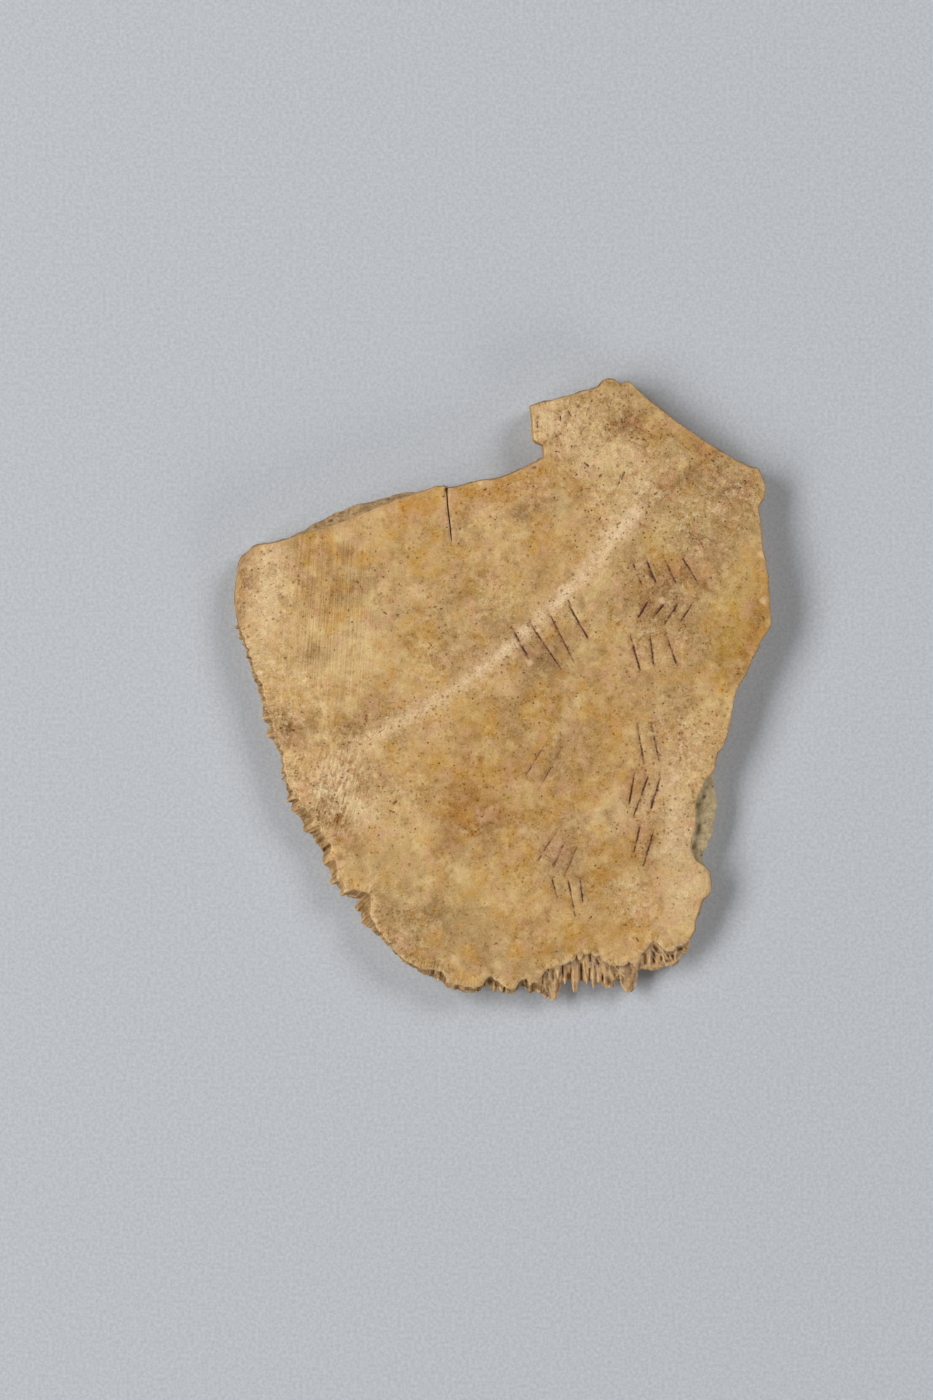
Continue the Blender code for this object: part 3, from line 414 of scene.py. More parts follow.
# Broad areas of colour on the face, laid on in this order: for each colour, the places that
# have it, each as x, y, the two radii, the turn in degrees and how much of the colour its middle
# has.
PATCHES = {
    (196, 140, 70): [  # orange
        (-8.6, 17.9, 2.6, 1.6, 20, 0.72), (-0.5, 20.3, 6.5, 1.3, 20, 0.65),
        (25.6, 8.4, 3.6, 0.8, 88, 0.8), (17.4, -18.6, 1.2, 0.8, 0, 0.43),
        (15, -22.4, 2.8, 1.6, 70, 0.72),
    ],
    (154, 124, 82): [  # grey tan
        (19.5, 18.5, 6, 4.2, -20, 0.65), (15.4, 8.5, 4.8, 3.6, 60, 0.72),
        (3.6, 3, 2.6, 1.8, -50, 0.58), (0.5, 7.2, 2, 1.2, 30, 0.43),
        (-17.4, -11.9, 2, 1.4, -50, 0.72), (4.8, -17, 2.8, 1.6, 30, 0.51),
        (-7.2, -22.4, 3.2, 2.2, 0, 0.72), (-11.4, -17.8, 2.6, 1.8, -50, 0.43),
        (-6.5, 8.4, 5, 1.2, 10, 0.43), (4.8, 19, 3.2, 1.2, -30, 0.36),
        (3.6, -11.6, 1.2, 1.6, 0, 0.51), (-10.4, -24.8, 2.8, 1.7, -50, 0.5),
    ],
    (178, 138, 52): [  # olive
        (23.2, 7.9, 2.6, 2, 60, 0.9), (22.4, 4.4, 2.2, 1.4, 60, 0.58),
    ],
    (152, 100, 48): [  # russet
        (15, 9.3, 2.8, 1.5, 50, 0.36), (17.6, 11.3, 1.5, 1, 45, 0.58),
        (20.6, 10.3, 1.2, 0.5, -60, 0.72), (24.4, 3.5, 2.6, 0.6, 62, 0.58),
        (-16.5, -13.4, 2.4, 0.9, -50, 0.43), (-3.4, -11.4, 3.4, 1.9, 15, 0.72),
        (-5.3, -15.3, 1.8, 1.4, 40, 0.84), (10.4, -18.7, 0.6, 0.5, 0, 0.72),
        (7.4, -6, 3, 1.3, 50, 0.29), (13, -9.6, 1.2, 1.8, 0, 0.36), (3, -23.2, 1.1, 0.7, 0, 0.65),
        (-0.6, -13.4, 2.4, 1.5, 10, 0.65),
    ],
    (204, 160, 116): [  # rose tan
        (-5.4, 19.4, 0.7, 1.8, 0, 0.51), (-17, -8.3, 2.6, 1.5, 30, 0.72),
        (17.2, -6.4, 3.2, 2, 20, 0.58), (12.8, -13.4, 2, 2.6, 0, 0.36),
        (-25.4, 9.4, 2, 0.8, 80, 0.43),
    ],
    (180, 129, 47): [  # amber
        (-7.3, 13, 3.2, 2.2, 20, 0.46), (-9.4, 5.2, 2.4, 1.8, 0, 0.36),
        (0.2, 10.3, 1.8, 1.3, 0, 0.43), (-2.6, -2.2, 3, 2, -40, 0.65), (-1, -8.6, 6, 3.6, 0, 0.43),
        (11.4, -4.6, 2.2, 3, 0, 0.58), (8.2, -10.2, 2, 1.4, 0, 0.65),
        (2.6, -12.4, 2.4, 1.2, 0, 0.51), (9.5, -17, 1.7, 3.2, 0, 0.55),
        (5.2, 14.8, 2.4, 2, 0, 0.36), (11, -24.2, 3.3, 1.4, 10, 0.55),
        (25.4, 8.6, 1.4, 3.4, 0, 0.72), (-1, 19.9, 5, 1, 18, 0.43),
    ],
    (136, 98, 56): [  # umber
        (2.4, 17.9, 1.8, 1.3, 0, 0.72), (12.3, 26.8, 2.6, 1.5, 20, 0.61),
        (18.5, 22.6, 2.3, 1.6, -30, 0.58), (21.6, 21.4, 2.6, 1.5, -30, 0.58),
        (17, 20.6, 4.4, 0.45, 44, 0.43), (-19.3, 11, 3.4, 1.1, 90, 0.32),
        (-18.8, 3.5, 1.5, 1.3, 0, 0.59), (-21.1, -4.1, 1.6, 1.6, 0, 0.9),
        (-13.4, -2.6, 3, 1, 20, 0.43), (-1.7, -14.2, 1, 0.8, 0, 0.58),
        (-7, -10, 1.7, 0.9, 60, 0.32), (-8.3, -26.2, 1.6, 1.1, -30, 0.51),
        (5.8, -25.8, 1.1, 0.7, 0, 0.51), (4.6, 3, 1.8, 2.4, -40, 0.51),
        (5.6, -7.6, 1.4, 2.6, 20, 0.43), (6.6, -17.4, 1.4, 2.4, 0, 0.51),
        (15, -4.4, 1, 2.2, 20, 0.51), (17.5, 11.5, 1.3, 1, 40, 0.77),
        (-7.2, -22.4, 3, 2.2, 0, 0.43), (25.7, 8, 0.7, 2, 0, 0.58), (-25.7, 10.8, 3, 0.9, 78, 0.65),
        (-22.9, -3, 2.6, 0.6, -75, 0.58), (-26.2, 9, 4.2, 0.7, 86, 0.4),
    ],
    (156, 98, 50): [  # rust
        (4.9, 24.5, 0.9, 0.5, 20, 0.87), (8.2, 24.3, 0.6, 0.45, 30, 0.87),
        (7.3, 23.3, 0.45, 0.35, 0, 0.87), (7.1, 26.8, 0.4, 0.3, 0, 0.72),
        (12, 22.4, 0.35, 0.3, 0, 0.72), (13.9, 22.8, 0.5, 0.4, 0, 0.72),
        (14.2, 16.6, 0.7, 0.4, -40, 0.72), (13.3, 26.7, 1, 0.6, -30, 0.72),
        (10.8, 26.4, 0.8, 0.6, 0, 0.58), (16.4, 21.2, 2, 0.3, 40, 0.72),
        (18.8, 19.6, 1.8, 0.3, -40, 0.58), (19.6, 24.2, 1.6, 0.4, -35, 0.58),
        (24.4, 20, 1.4, 0.5, 60, 0.58), (-15.6, 13.6, 1.4, 0.8, 0, 0.43),
        (-17, 9.4, 1.2, 0.8, 30, 0.43), (2.9, -23.4, 0.8, 0.5, 0, 0.72),
        (10.6, -18.8, 0.4, 0.3, 0, 0.87), (-15.6, -8, 0.9, 0.4, 60, 0.72),
        (-14.9, -9, 0.5, 0.4, 0, 0.72), (-3.2, -13.6, 0.9, 0.9, 0, 0.51),
    ],
    (210, 178, 116): [  # straw
        (-14, 5, 4.5, 2.6, 20, 0.51), (-12.6, -12.6, 3.6, 2.2, -30, 0.58),
        (-9, 1.8, 2.4, 1.4, 60, 0.43), (-2.5, -20.5, 6, 2.6, -10, 0.41),
        (11.6, 23.6, 4.4, 1.6, 0, 0.29), (20.8, -2.4, 2.6, 1.6, 60, 0.36),
        (-7.1, 13.2, 2, 1.3, 20, 0.75), (15.3, 15.9, 1.7, 1.2, 40, 0.77),
        (1.6, -10.2, 1.6, 0.9, 0, 0.43), (18.4, 22.8, 1.6, 1, 0, 0.65),
        (24.2, 12.2, 1.8, 3.2, 0, 0.58), (23.4, 8.4, 1.6, 1.4, 0, 0.51),
        (0.2, 10.2, 2.2, 1.6, 0, 0.65), (-12, 15.2, 2, 1.2, 20, 0.51), (-4.2, 7.2, 2, 1.4, 0, 0.51),
        (12, 6, 1.6, 1.4, 0, 0.51), (-2.4, -2.2, 1.8, 1.2, -30, 0.43),
        (-11, -18, 2, 1.4, -50, 0.51), (19.5, 18.5, 2.6, 2, 0, 0.51),
    ],
    (226, 196, 150): [  # cream
        # These first two are a painted highlight: the sheen on the worn left margin, which slopes
        # toward the key light.
        (-23.4, 9.5, 6.5, 1.3, 84, 0.72), (-23, 13.3, 1.4, 1, 0, 0.9),
        (4.7, 27.1, 1.9, 1.5, 90, 0.86), (11, 15.6, 2.2, 1.1, 50, 0.77),
        (8.2, 11.9, 1.9, 0.9, 45, 0.51), (-14.6, -11.5, 2.1, 1.2, -50, 0.88),
        (17.2, -12.6, 5.6, 1.4, 96, 0.9), (18.9, -19.7, 3.2, 1.8, 70, 0.9),
        (12.6, 17, 2.6, 1.3, 48, 0.65), (9, 22.6, 1, 0.7, 0, 0.58), (13.6, 20.2, 1.5, 1, 30, 0.51),
        (-15.9, -8.6, 0.35, 2.2, 14, 0.72), (-18.2, -10.2, 1, 0.8, 40, 0.65),
        (-13.2, -5, 2.4, 0.8, 25, 0.51), (9, -12.4, 1.2, 0.8, 20, 0.51),
        (11.4, -11.4, 0.8, 0.9, 0, 0.58), (11.6, 23.4, 3.6, 1.4, -10, 0.65),
        (-14.2, 5, 3.4, 1.8, 30, 0.43), (-12.4, -12.8, 2.2, 1.4, -30, 0.51),
        (-17, -8, 2, 1.2, 30, 0.65), (14.2, -11.1, 1.5, 1.7, 0, 0.77),
        (16.2, -22, 2, 1.4, 60, 0.58), (7, 24.2, 1.6, 1.2, 0, 0.43), (-2, -28.8, 7, 0.9, -4, 0.3),
    ],
}
PATCH_WANDER = (0.9, 2.2, (41.0, 42.0))

# Where the face is porous, worn to rough bone, stained, and netted with pale lines: each place is
# x, y, radius and amount.
FIELDS = {
    "pores": [
        (13.0, 26.0, 7.0, 0.9), (20.0, 19.5, 6.0, 0.8), (18.6, -3.5, 4.5, 0.9),
        (16.8, -11.5, 2.5, 0.7), (3.0, 7.0, 4.0, 0.5), (15.5, 7.0, 4.0, 0.5), (-6.5, 8.0, 4.5, 0.4),
        (-10.5, -11.0, 4.0, 0.5), (-16.5, -9.0, 4.5, 0.6), (3.0, -3.0, 3.5, 0.35),
        (-2.0, 19.0, 5.0, 0.3), (9.5, 15.5, 3.0, 0.8), (6.0, 24.0, 5.0, 0.8),
        (-24.0, 10.0, 3.5, 0.9), (13.0, -14.0, 3.0, 0.4), (14.5, 18.0, 1.6, 1.0),
        (-18.5, -11.0, 3.0, 0.8), (22.0, 19.0, 4.0, 0.9),
    ],
    "worn": [
        (8.0, 26.0, 6.0, 0.9), (13.5, 20.5, 6.0, 0.8), (20.0, 17.0, 6.0, 0.8),
        (16.0, 8.0, 6.0, 0.6), (-16.8, -9.5, 5.0, 1.0), (-23.5, 10.0, 4.0, 0.9),
        (19.0, -6.0, 5.0, 0.8), (18.0, -14.0, 4.0, 0.7), (18.5, -20.5, 3.5, 0.4),
        (6.0, -6.0, 5.0, 0.3), (-21.5, -3.0, 3.0, 0.8), (4.5, -15.5, 4.0, 0.4),
        (-24.0, 3.0, 3.5, 0.9), (-20.5, 0.0, 4.0, 0.7), (-9.0, -24.0, 3.5, 0.5),
        (0.0, 9.0, 4.0, 0.6), (-5.0, 3.0, 5.0, 0.5), (0.0, 20.0, 5.0, 0.5), (13.5, -21.0, 3.0, 0.9),
        (24.5, 20.5, 3.0, 1.0), (-11.0, -9.0, 4.0, 0.5),
    ],
    "stained": [
        (4.6, 24.5, 3.0, 0.9), (8.5, 22.0, 3.5, 0.5), (12.5, 26.5, 4.0, 1.0),
        (18.5, 21.5, 5.0, 0.9), (17.0, 10.5, 3.0, 0.7), (-22.0, -3.5, 3.0, 0.8),
        (-16.5, -9.0, 4.5, 0.7), (-3.5, -13.0, 5.0, 0.6), (-12.5, 11.0, 4.0, 0.4),
        (3.0, -23.5, 3.0, 0.5), (2.0, 18.0, 3.5, 0.5), (13.5, -9.0, 3.5, 0.6),
    ],
    "netted": [
        (2.0, -20.0, 6.0, 0.6), (-4.0, -18.0, 6.0, 0.5), (9.0, -20.0, 4.0, 0.5),
        (-8.0, 2.0, 5.0, 0.4), (14.0, 14.0, 4.0, 0.3),
    ],
}
LEAST_PORES, FURROW_PORES = 0.12, 1.1
FINISH_WANDER = ((0.3, 2.4, 43.0),)

# Where it is scraped and where it is striated: middle, radii, and how square the area is. Then the
# turns of the streaks and scores there, in degrees.
SCRAPED = (-16.5, -9.8, 3.8, 5.2)
STRIATED = (-17.0, 7.0, 4.5, 9.0, 4)
STREAK_TURN, SCORE_TURN = -4, -14

# Irregular blots of a tint: how much of it, the size and seed of the noise, the values between
# which it shows, how rough it is, and the value that limits it. "waxy" is where bone isn't worn.
Blot = namedtuple("Blot", "tint amount size seed low high roughness where", defaults=(0.65, None))
BASE_BLOTS = [
    Blot((192, 144, 64), 0.85, 4.2, 2.0, 0.5, 0.7, 0.45, "waxy"),
    Blot((226, 196, 140), 0.7, 2.6, 3.0, 0.5, 0.7, 0.45),
    Blot((156, 116, 68), 0.5, 2.2, 4.0, 0.5, 0.7, 0.45),
]
FACE_BLOTS = [
    Blot((208, 162, 122), 0.55, 1.5, 5.0, 0.48, 0.66, 0.5),
    Blot((202, 151, 70), 0.6, 2.0, 5.5, 0.5, 0.68, 0.5, "waxy"),
    Blot((226, 194, 132), 0.4, 1.3, 5.8, 0.52, 0.68, 0.5),
    Blot((150, 110, 64), 0.35, 1.1, 6.0, 0.53, 0.68, 0.55),
    Blot((238, 214, 172), 0.55, 0.6, 6.5, 0.5, 0.64, 0.65, "worn"),
    Blot((152, 96, 48), 0.65, 1.0, 7.0, 0.56, 0.66, 0.65, "stained"),
]
PEG_BLOT = Blot((142, 120, 98), 0.65, 0.9, 29.0, 0.48, 0.6, 0.65, "pegged")
WALL_BLOT = Blot((110, 80, 50), 0.5, 0.4, 24.0, 0.55, 0.7)

# Walls of their own colour: the value that they carry, the darker and lighter tint, the amount.
WALL_KINDS = (("pegged", (196, 148, 96), (222, 186, 136), 0.6),
              ("flaked", (164, 145, 108), (200, 181, 143), 0.9),
              ("bevelled", (148, 116, 78), (196, 162, 116), 0.9))

# The scale of the noise that pushes the net's cells about, and how far it does.
NET_PUSH_SCALE, NET_PUSH = 0.8, 1.6

# Linear red, green and blue steps that look like one grey step on the bone's own colour.
EVEN_STEP = (0.66, 0.5, 0.32)
BUMP_STRENGTH = 0.7

# The bake layout: the faces side by side at one scale, and the wall in strips above them.
UV_SCALE = 1 / 110
UV_MARGIN, WALL_MARGIN, UNDERSIDE_SHIFT = 0.002, 0.005, 0.5
UV_STRIPS, WALL_STRETCH = 3, 1.5
STRIPS_FROM, STRIP_PITCH, STRIP_HEIGHT = 0.6, 0.132, 0.12

# The Mix node's sockets for colours.
MIX_FACTOR, MIX_A, MIX_B, MIX_RESULT = 0, 6, 7, 2

# --- studio ---------------------------------------------------------------------------------

VIEW_CENTRE = (-3.6, -1.0)
VIEW_HEIGHT = 139.5
CAMERA_DISTANCE = 600.0
SENSOR = 36.0
FLOOR_SIDE = 1600.0
FLOOR_COLOUR = (193, 197, 203)

# The softboxes: name, azimuth and elevation in degrees, width, height, and share of the light.
LIGHTS = [("key", 170, 43, 0.8, 0.4, 0.52), ("low_left", 212, 30, 0.4, 0.4, 0.12),
          ("side", 38, 38, 0.5, 0.35, 0.25), ("front", 310, 20, 0.5, 0.3, 0.10)]
LIGHT_COLOUR = (1.0, 0.995, 0.985)
AMBIENT, AMBIENT_COLOUR = 0.02, (0.97, 0.985, 1.0, 1.0)

Margin = namedtuple("Margin", "points facing stretch along arc total edge sutured")
Layout = namedtuple("Layout", "margin count levels sides upper")


# --- small tools ----------------------------------------------------------------------------


def unit(vectors):
    return vectors / np.linalg.norm(vectors, axis=-1, keepdims=True)


def way(turn):
    """The unit vector at a turn in degrees."""
    return np.array((math.cos(math.radians(turn)), math.sin(math.radians(turn))))


def ramp(values, low, high):
    t = np.clip((values - low) / (high - low), 0, 1)
    return t * t * (3 - 2 * t)


def groove(distance, half_width):
    """1 on the middle line, falling evenly to 0 at the half width."""
    return np.clip(1 - distance / half_width, 0, 1)


def mound(points, x, y, x_radius, y_radius, power=2):
    """1 at the middle, falling smoothly to nothing outside the radii."""
    return np.exp(-(((points[:, 0] - x) / x_radius) ** power
                    + ((points[:, 1] - y) / y_radius) ** power))


def flat(points):
    """The points with a third coordinate of 0."""
    return np.column_stack([points, np.zeros(len(points))])


def spots_for(points, size, seed):
    """Where the points fall in the noise: each seed takes them to another part of it."""
    return (points / size + np.array((seed, seed * 0.7, seed * 1.3))).tolist()


def noise_at(points, size, seed):
    """Smooth noise from -1 to 1 at each point, with features about the given size."""
    return np.array([noise.noise(spot) for spot in spots_for(points, size, seed)])


def cells_at(points, size, seed):
    """Distance to the nearest of randomly strewn cell middles, in cells of the given size."""
    return np.array([noise.voronoi(spot)[0][0] for spot in spots_for(points, size, seed)])


def layered(points, layers, start=0):
    """The sum of several layers of noise: each is its amount, size and seed."""
    return sum((amount * noise_at(points, size, seed) for amount, size, seed in layers), start)


def beside(points, a, b):
    """How far along the run from a to b each point is, from 0 to 1, and how far from it."""
    run = b - a
    part = np.clip(((points - a) * run).sum(axis=-1) / (run * run).sum(axis=-1), 0, 1)
    return part, np.linalg.norm(points - a - part[:, None] * run, axis=1)


def distance_to_path(points, path):
    path = np.array(path)
    return np.min([beside(points, a, b)[1] for a, b in zip(path[:-1], path[1:])], axis=0)


def pushed(points, spots, amount, size, seeds):
    """The points in the plane, pushed about by the noise at their spots."""
    return points + amount * np.stack([noise_at(spots, size, seed) for seed in seeds], axis=1)


def linear(colour):
    """An sRGB colour from 0 to 255 as linear values from 0 to 1."""
    c = np.array(colour, float) / 255
    return np.where(c <= 0.04045, c / 12.92, ((c + 0.055) / 1.055) ** 2.4)


def rgba(colour):
    return tuple(float(v) for v in linear(colour)) + (1.0,)


# --- the margin -----------------------------------------------------------------------------


def curve_between(start, end, start_way, end_way, roundness, count):
    """Points on a cubic from start, short of end, that leaves and arrives along the given ways."""
    t = np.linspace(0, 1, count, endpoint=False)[:, None]
    pull = roundness * np.linalg.norm(end - start)
    return ((2 * t**3 - 3 * t**2 + 1) * start + (t**3 - 2 * t**2 + t) * pull * start_way
            + (3 * t**2 - 2 * t**3) * end + (t**3 - t**2) * pull * end_way)


def blurred(values, arc, total, width):
    """Values round a closed line, each the average of those within about the given width."""
    gap = np.abs(arc[:, None] - arc[None, :])
    gap = np.minimum(gap, total - gap)
    spacing = np.diff(np.append(arc, total))
    weight = np.exp(-0.5 * (gap / width) ** 2) * (spacing + np.roll(spacing, 1))
    return (weight @ values) / weight.sum(axis=1)[:, None]


def margin_of(stretches):
    """The face's edge as a closed line of points, with what each point belongs to."""
    corners = np.array([p for stretch in stretches for p in stretch.points])
    owner = [i for i, stretch in enumerate(stretches) for _ in stretch.points]
    ways = unit(np.roll(corners, -1, axis=0) - np.roll(corners, 1, axis=0))
    points, stretch_of = [], []
    for i, index in enumerate(owner):
        after = (i + 1) % len(corners)
        count = math.ceil(np.linalg.norm(corners[after] - corners[i]) / stretches[index].step)
        points.append(curve_between(corners[i], corners[after], ways[i], ways[after],
                                    stretches[index].roundness, count))
        stretch_of += [index] * count
    points = np.concatenate(points)
    stretch_of = np.array(stretch_of)
    steps = np.linalg.norm(np.roll(points, -1, axis=0) - points, axis=1)
    arc = np.concatenate([[0], np.cumsum(steps)[:-1]])
    total = steps.sum()
    along = np.zeros(len(points))
    tangent = unit(np.roll(points, -1, axis=0) - np.roll(points, 1, axis=0))
    facing = np.stack([tangent[:, 1], -tangent[:, 0]], axis=1)
    for index, stretch in enumerate(stretches):
        mine = stretch_of == index
        along[mine] = (arc[mine] - arc[mine][0]) / (np.ptp(arc[mine]) + steps[mine][-1])
        if stretch.facing:
            angle = np.radians(np.interp(along[mine], (0, 1), stretch.facing))
            facing[mine] = np.stack([np.cos(angle), np.sin(angle)], axis=1)
    facing = unit(blurred(facing, arc, total, FACING_BLEND))
    edge = np.array([stretch.edge for stretch in stretches])[stretch_of]
    edge = blurred(edge[:, None], arc, total, FACING_BLEND)[:, 0]
    sutured = np.array([stretch.facing is not None for stretch in stretches])[stretch_of]
    return Margin(points, facing, stretch_of, along, arc, total, edge, sutured)


def in_stretch(margin, *names):
    return np.isin(margin.stretch, [NAMES.index(name) for name in names])


def suture_gaps(margin, rng):
    """(arc, half width, depth, notch) of each gap between the little teeth."""
    gaps = []
    arc = 0.0
    while arc < margin.total:
        gaps.append((arc, *(rng.uniform(*span) for span in (GAP_HALF_WIDTH, GAP_DEPTH, GAP_NOTCH))))
        arc += rng.uniform(*GAP_PITCH)
    owners = np.searchsorted(margin.arc, [gap[0] for gap in gaps]) - 1
    toothed = margin.sutured & ~in_stretch(margin, "honeycomb_corner", "foot_notch")
    return [gap for gap, owner in zip(gaps, owners) if toothed[owner]]


def frayed(margin, gaps):
    """The margin with the face's edge made uneven: notched at sutures, crumbled at breaks."""
    spots = flat(margin.points)
    scallop = layered(spots, SCALLOPS)
    for arc, half_width, _, notch in gaps:
        scallop -= notch * np.exp(-((margin.arc - arc) / (NOTCH_SPREAD * half_width)) ** 2)
    shift = np.where(margin.sutured, scallop, layered(spots, CRUMBLE))
    shift[in_stretch(margin, "worn_corner")] *= WORN_CRUMBLE
    return margin._replace(points=margin.points + margin.facing * shift[:, None])


# --- the wall -------------------------------------------------------------------------------


def tooth_at(margin, root, length, tooth, depth):
    """The reach of one tooth, a fluted cone or a block that stands along the facing of its root."""
    facing = margin.facing[root]
    offset = margin.points - margin.points[root]
    across = offset[:, 0] * facing[1] - offset[:, 1] * facing[0]
    gap = np.abs(margin.arc - margin.arc[root])
    across[np.minimum(gap, margin.total - gap) > TOOTH_REACH] = FAR
    lines = np.column_stack([across / FLUTE_PITCH, np.full_like(across, root), 0 * across])
    half_height = tooth.half_height * (1 + FLUTE_DEPTH * noise_at(lines, 1.0, FLUTE_SEED))[:, None]
    corner = BLOCK_CORNER if tooth.bluntness >= BLOCK_BLUNTNESS else RIDGE_CORNER
    side = (np.abs(across) / tooth.half_width)[:, None]
    level = np.abs(depth - tooth.level) / half_height
    radius = (side**corner + level**corner) ** (1 / corner)
    shape = 1 - np.minimum(radius, 1) ** tooth.bluntness
    ahead = length - offset @ facing
    return np.where(radius < 1, np.maximum(ahead, 0)[:, None] * shape, -np.inf)


def root_of(margin, tip):
    """The margin point whose facing leads to the tip, and how far the tip is from it."""
    to_tip = np.array(tip) - margin.points
    ahead = (to_tip * margin.facing).sum(axis=1)
    aside = np.abs(to_tip[:, 0] * margin.facing[:, 1] - to_tip[:, 1] * margin.facing[:, 0])
    aside[(ahead < 0) | (ahead > TOOTH_REACH)] = np.inf
    root = aside.argmin()
    return root, ahead[root]


def little_teeth(margin, rng):
    """(root, length, tooth) for each of the little teeth along the sutures."""
    scale = np.array([LITTLE_SCALE.get(name, 0.0) for name in NAMES])[margin.stretch]
    teeth = []
    for level, least, most in LITTLE_TEETH:
        arc = rng.uniform(0, LITTLE_PITCH[1])
        while arc < margin.total:
            root = min(np.searchsorted(margin.arc, arc), len(margin.arc) - 1)
            length = rng.uniform(least, most)
            half_width = rng.uniform(*LITTLE_HALF_WIDTH)
            middle = level + rng.uniform(-LITTLE_WANDER, LITTLE_WANDER)
            if scale[root] > 0:
                tooth = Tooth(None, half_width, middle, LITTLE_HALF_HEIGHT, LITTLE_BLUNTNESS)
                teeth.append((root, length * scale[root], tooth))
            arc += rng.uniform(*LITTLE_PITCH)
    return teeth


def reach_of(margin, rng):
    """How far the bone stands out from the face's edge, at each margin point and fine level."""
    levels = np.linspace(0, 1, FINE_LEVELS)
    depth = levels[None, :]
    sutured = margin.sutured[:, None]
    shape = (len(margin.points), FINE_LEVELS)
    spots = np.concatenate([np.repeat(margin.points, FINE_LEVELS, axis=0),
                            np.tile(levels * MIDDLE_THICKNESS, shape[0])[:, None]], axis=1)
    rough, fine, grit = (noise_at(spots, size, seed).reshape(shape) for size, seed in WALL_NOISE)
    roughness = np.where(sutured, SUTURE_ROUGHNESS, BREAK_ROUGHNESS)
    reach = np.sin(math.pi * depth) * (WALL_SWELL + roughness * rough)
    for name, ledge in LEDGES.items():
        mine = in_stretch(margin, name)
        swell = np.interp(margin.along[mine], np.linspace(0, 1, len(ledge.amounts)), ledge.amounts)
        swell *= layered(flat(margin.points[mine]), LEDGE_ROUGHNESS, 1)
        reach[mine] += swell[:, None] * ramp(depth, ledge.start, ledge.end)
    teeth = [(*root_of(margin, tooth.tip), tooth) for tooth in TEETH]
    for root, length, tooth in teeth + little_teeth(margin, rng):
        reach = np.maximum(reach, tooth_at(margin, root, length, tooth, depth))
    shown = np.sin(math.pi * depth) ** 0.5
    lines = layered(flat(flat(margin.arc[:, None])), TOOTH_LINES)[:, None]
    smooth = 1 - PEG_SMOOTHING * in_stretch(margin, *PEGGED)[:, None]
    proud = smooth * ramp(reach, *LINED_REACH)
    reach += shown * sutured * (SUTURE_FINE * fine + SUTURE_GRIT * smooth * grit + proud * lines)
    reach += shown * ~sutured * (BREAK_FINE * fine + BREAK_GRIT * grit)
    return reach, levels, spongy(spots, shape, depth, sutured)


def spongy(spots, shape, depth, sutured):
    """How deep the open cells of the inner bone are on the walls, in millimetres."""
    inner = ramp(depth, *CELLS_START) * (1 - ramp(depth, *CELLS_END))
    patches = ramp(noise_at(spots, *CELL_PATCHES).reshape(shape), *CELL_COVER)
    holes = 1 - ramp(cells_at(spots, *CELL_NOISE).reshape(shape), *CELL_RIM)
    return np.where(sutured, SUTURE_CELL_DEPTH, BREAK_CELL_DEPTH) * inner * patches * holes


def suture_dips(margin, gaps):
    """The gaps between the little teeth as dips."""
    for arc, half_width, depth, notch in gaps:
        root = np.searchsorted(margin.arc, arc) - 1
        head = margin.points[root] - margin.facing[root] * notch
        tail = head + margin.facing[root] * GAP_LENGTH
        yield Dip(head, tail, half_width, depth, GAP_SHADE)


def near_path(points, path):
    """Which points are near the head of a short path, and how far those are from the path."""
    near = np.abs(points - np.array(path[0])).max(axis=1) < PATH_REACH
    return near, distance_to_path(points[near], path)


def dipped(points, dips):
    """How far each wall point sinks into a dip, in millimetres, and how much painted shade it gets
    there.
    """
    fall, shade = np.zeros((2, len(points)))
    for dip in dips:
        near, away = near_path(points, [dip.head, dip.tail])
        share = np.clip(1 - (away / dip.half_width) ** 2, 0, 1)
        fall[near] = np.maximum(fall[near], DIP_DEPTH * dip.depth * share)
        shade[near] = np.maximum(shade[near], DIP_SHADE * dip.shade * share)
    return fall, shade


def crested(points):
    """How much of a crest each wall point has under it, from 0 to 1."""
    rise = np.zeros(len(points))
    for path, height in CRESTS:
        near, away = near_path(points, path)
        rise[near] = np.maximum(rise[near], height * groove(away, CREST_HALF_WIDTH))
    return rise


def wall_of(margin, top, bottom, gaps, rng):
    """The wall's points, by margin point and level, and the values that they carry."""
    reach, levels, holes = reach_of(margin, rng)
    height = top[:, None] + (bottom - top)[:, None] * levels[None]
    leg = np.hypot(np.diff(reach, axis=1), np.diff(height, axis=1))
    run = np.concatenate([np.zeros((len(leg), 1)), np.cumsum(leg, axis=1)], axis=1)
    run = (1 - LEVEL_EVENNESS) * run / run[:, -1:] + LEVEL_EVENNESS * levels
    wanted = np.linspace(0, 1, LEVELS)
    depth = np.array([np.interp(wanted, row, levels) for row in run])
    depth = blurred(depth, margin.arc, margin.total, LEVEL_BLUR)
    depth[:, 0], depth[:, -1] = 0, 1
    reach, holes = (np.array([np.interp(d, levels, row) for d, row in zip(depth, values)])
                    for values in (reach, holes))
    outline = margin.points[:, None] + margin.facing[:, None] * (reach - holes)[:, :, None]
    height = top[:, None] + (bottom - top)[:, None] * depth
    spots = outline.reshape(-1, 2)
    fall, shade = dipped(spots, DIPS + list(suture_dips(margin, gaps)))
    fall, shade, crest = (
        values.reshape(depth.shape) * (ramp(depth, 0.0, start) * ramp(depth, *SIDES_END))
        for values, start in ((fall, DIP_START), (shade, DIP_START), (crested(spots), CREST_START)))
    height = np.maximum(height - fall, LEAST_HEIGHT * height) + CREST_HEIGHT * crest
    wall = np.concatenate([outline, height[:, :, None]], axis=2)
    return wall, {"depth": depth, "holes": holes, "shade": shade, "crest": crest}


# --- the two faces --------------------------------------------------------------------------


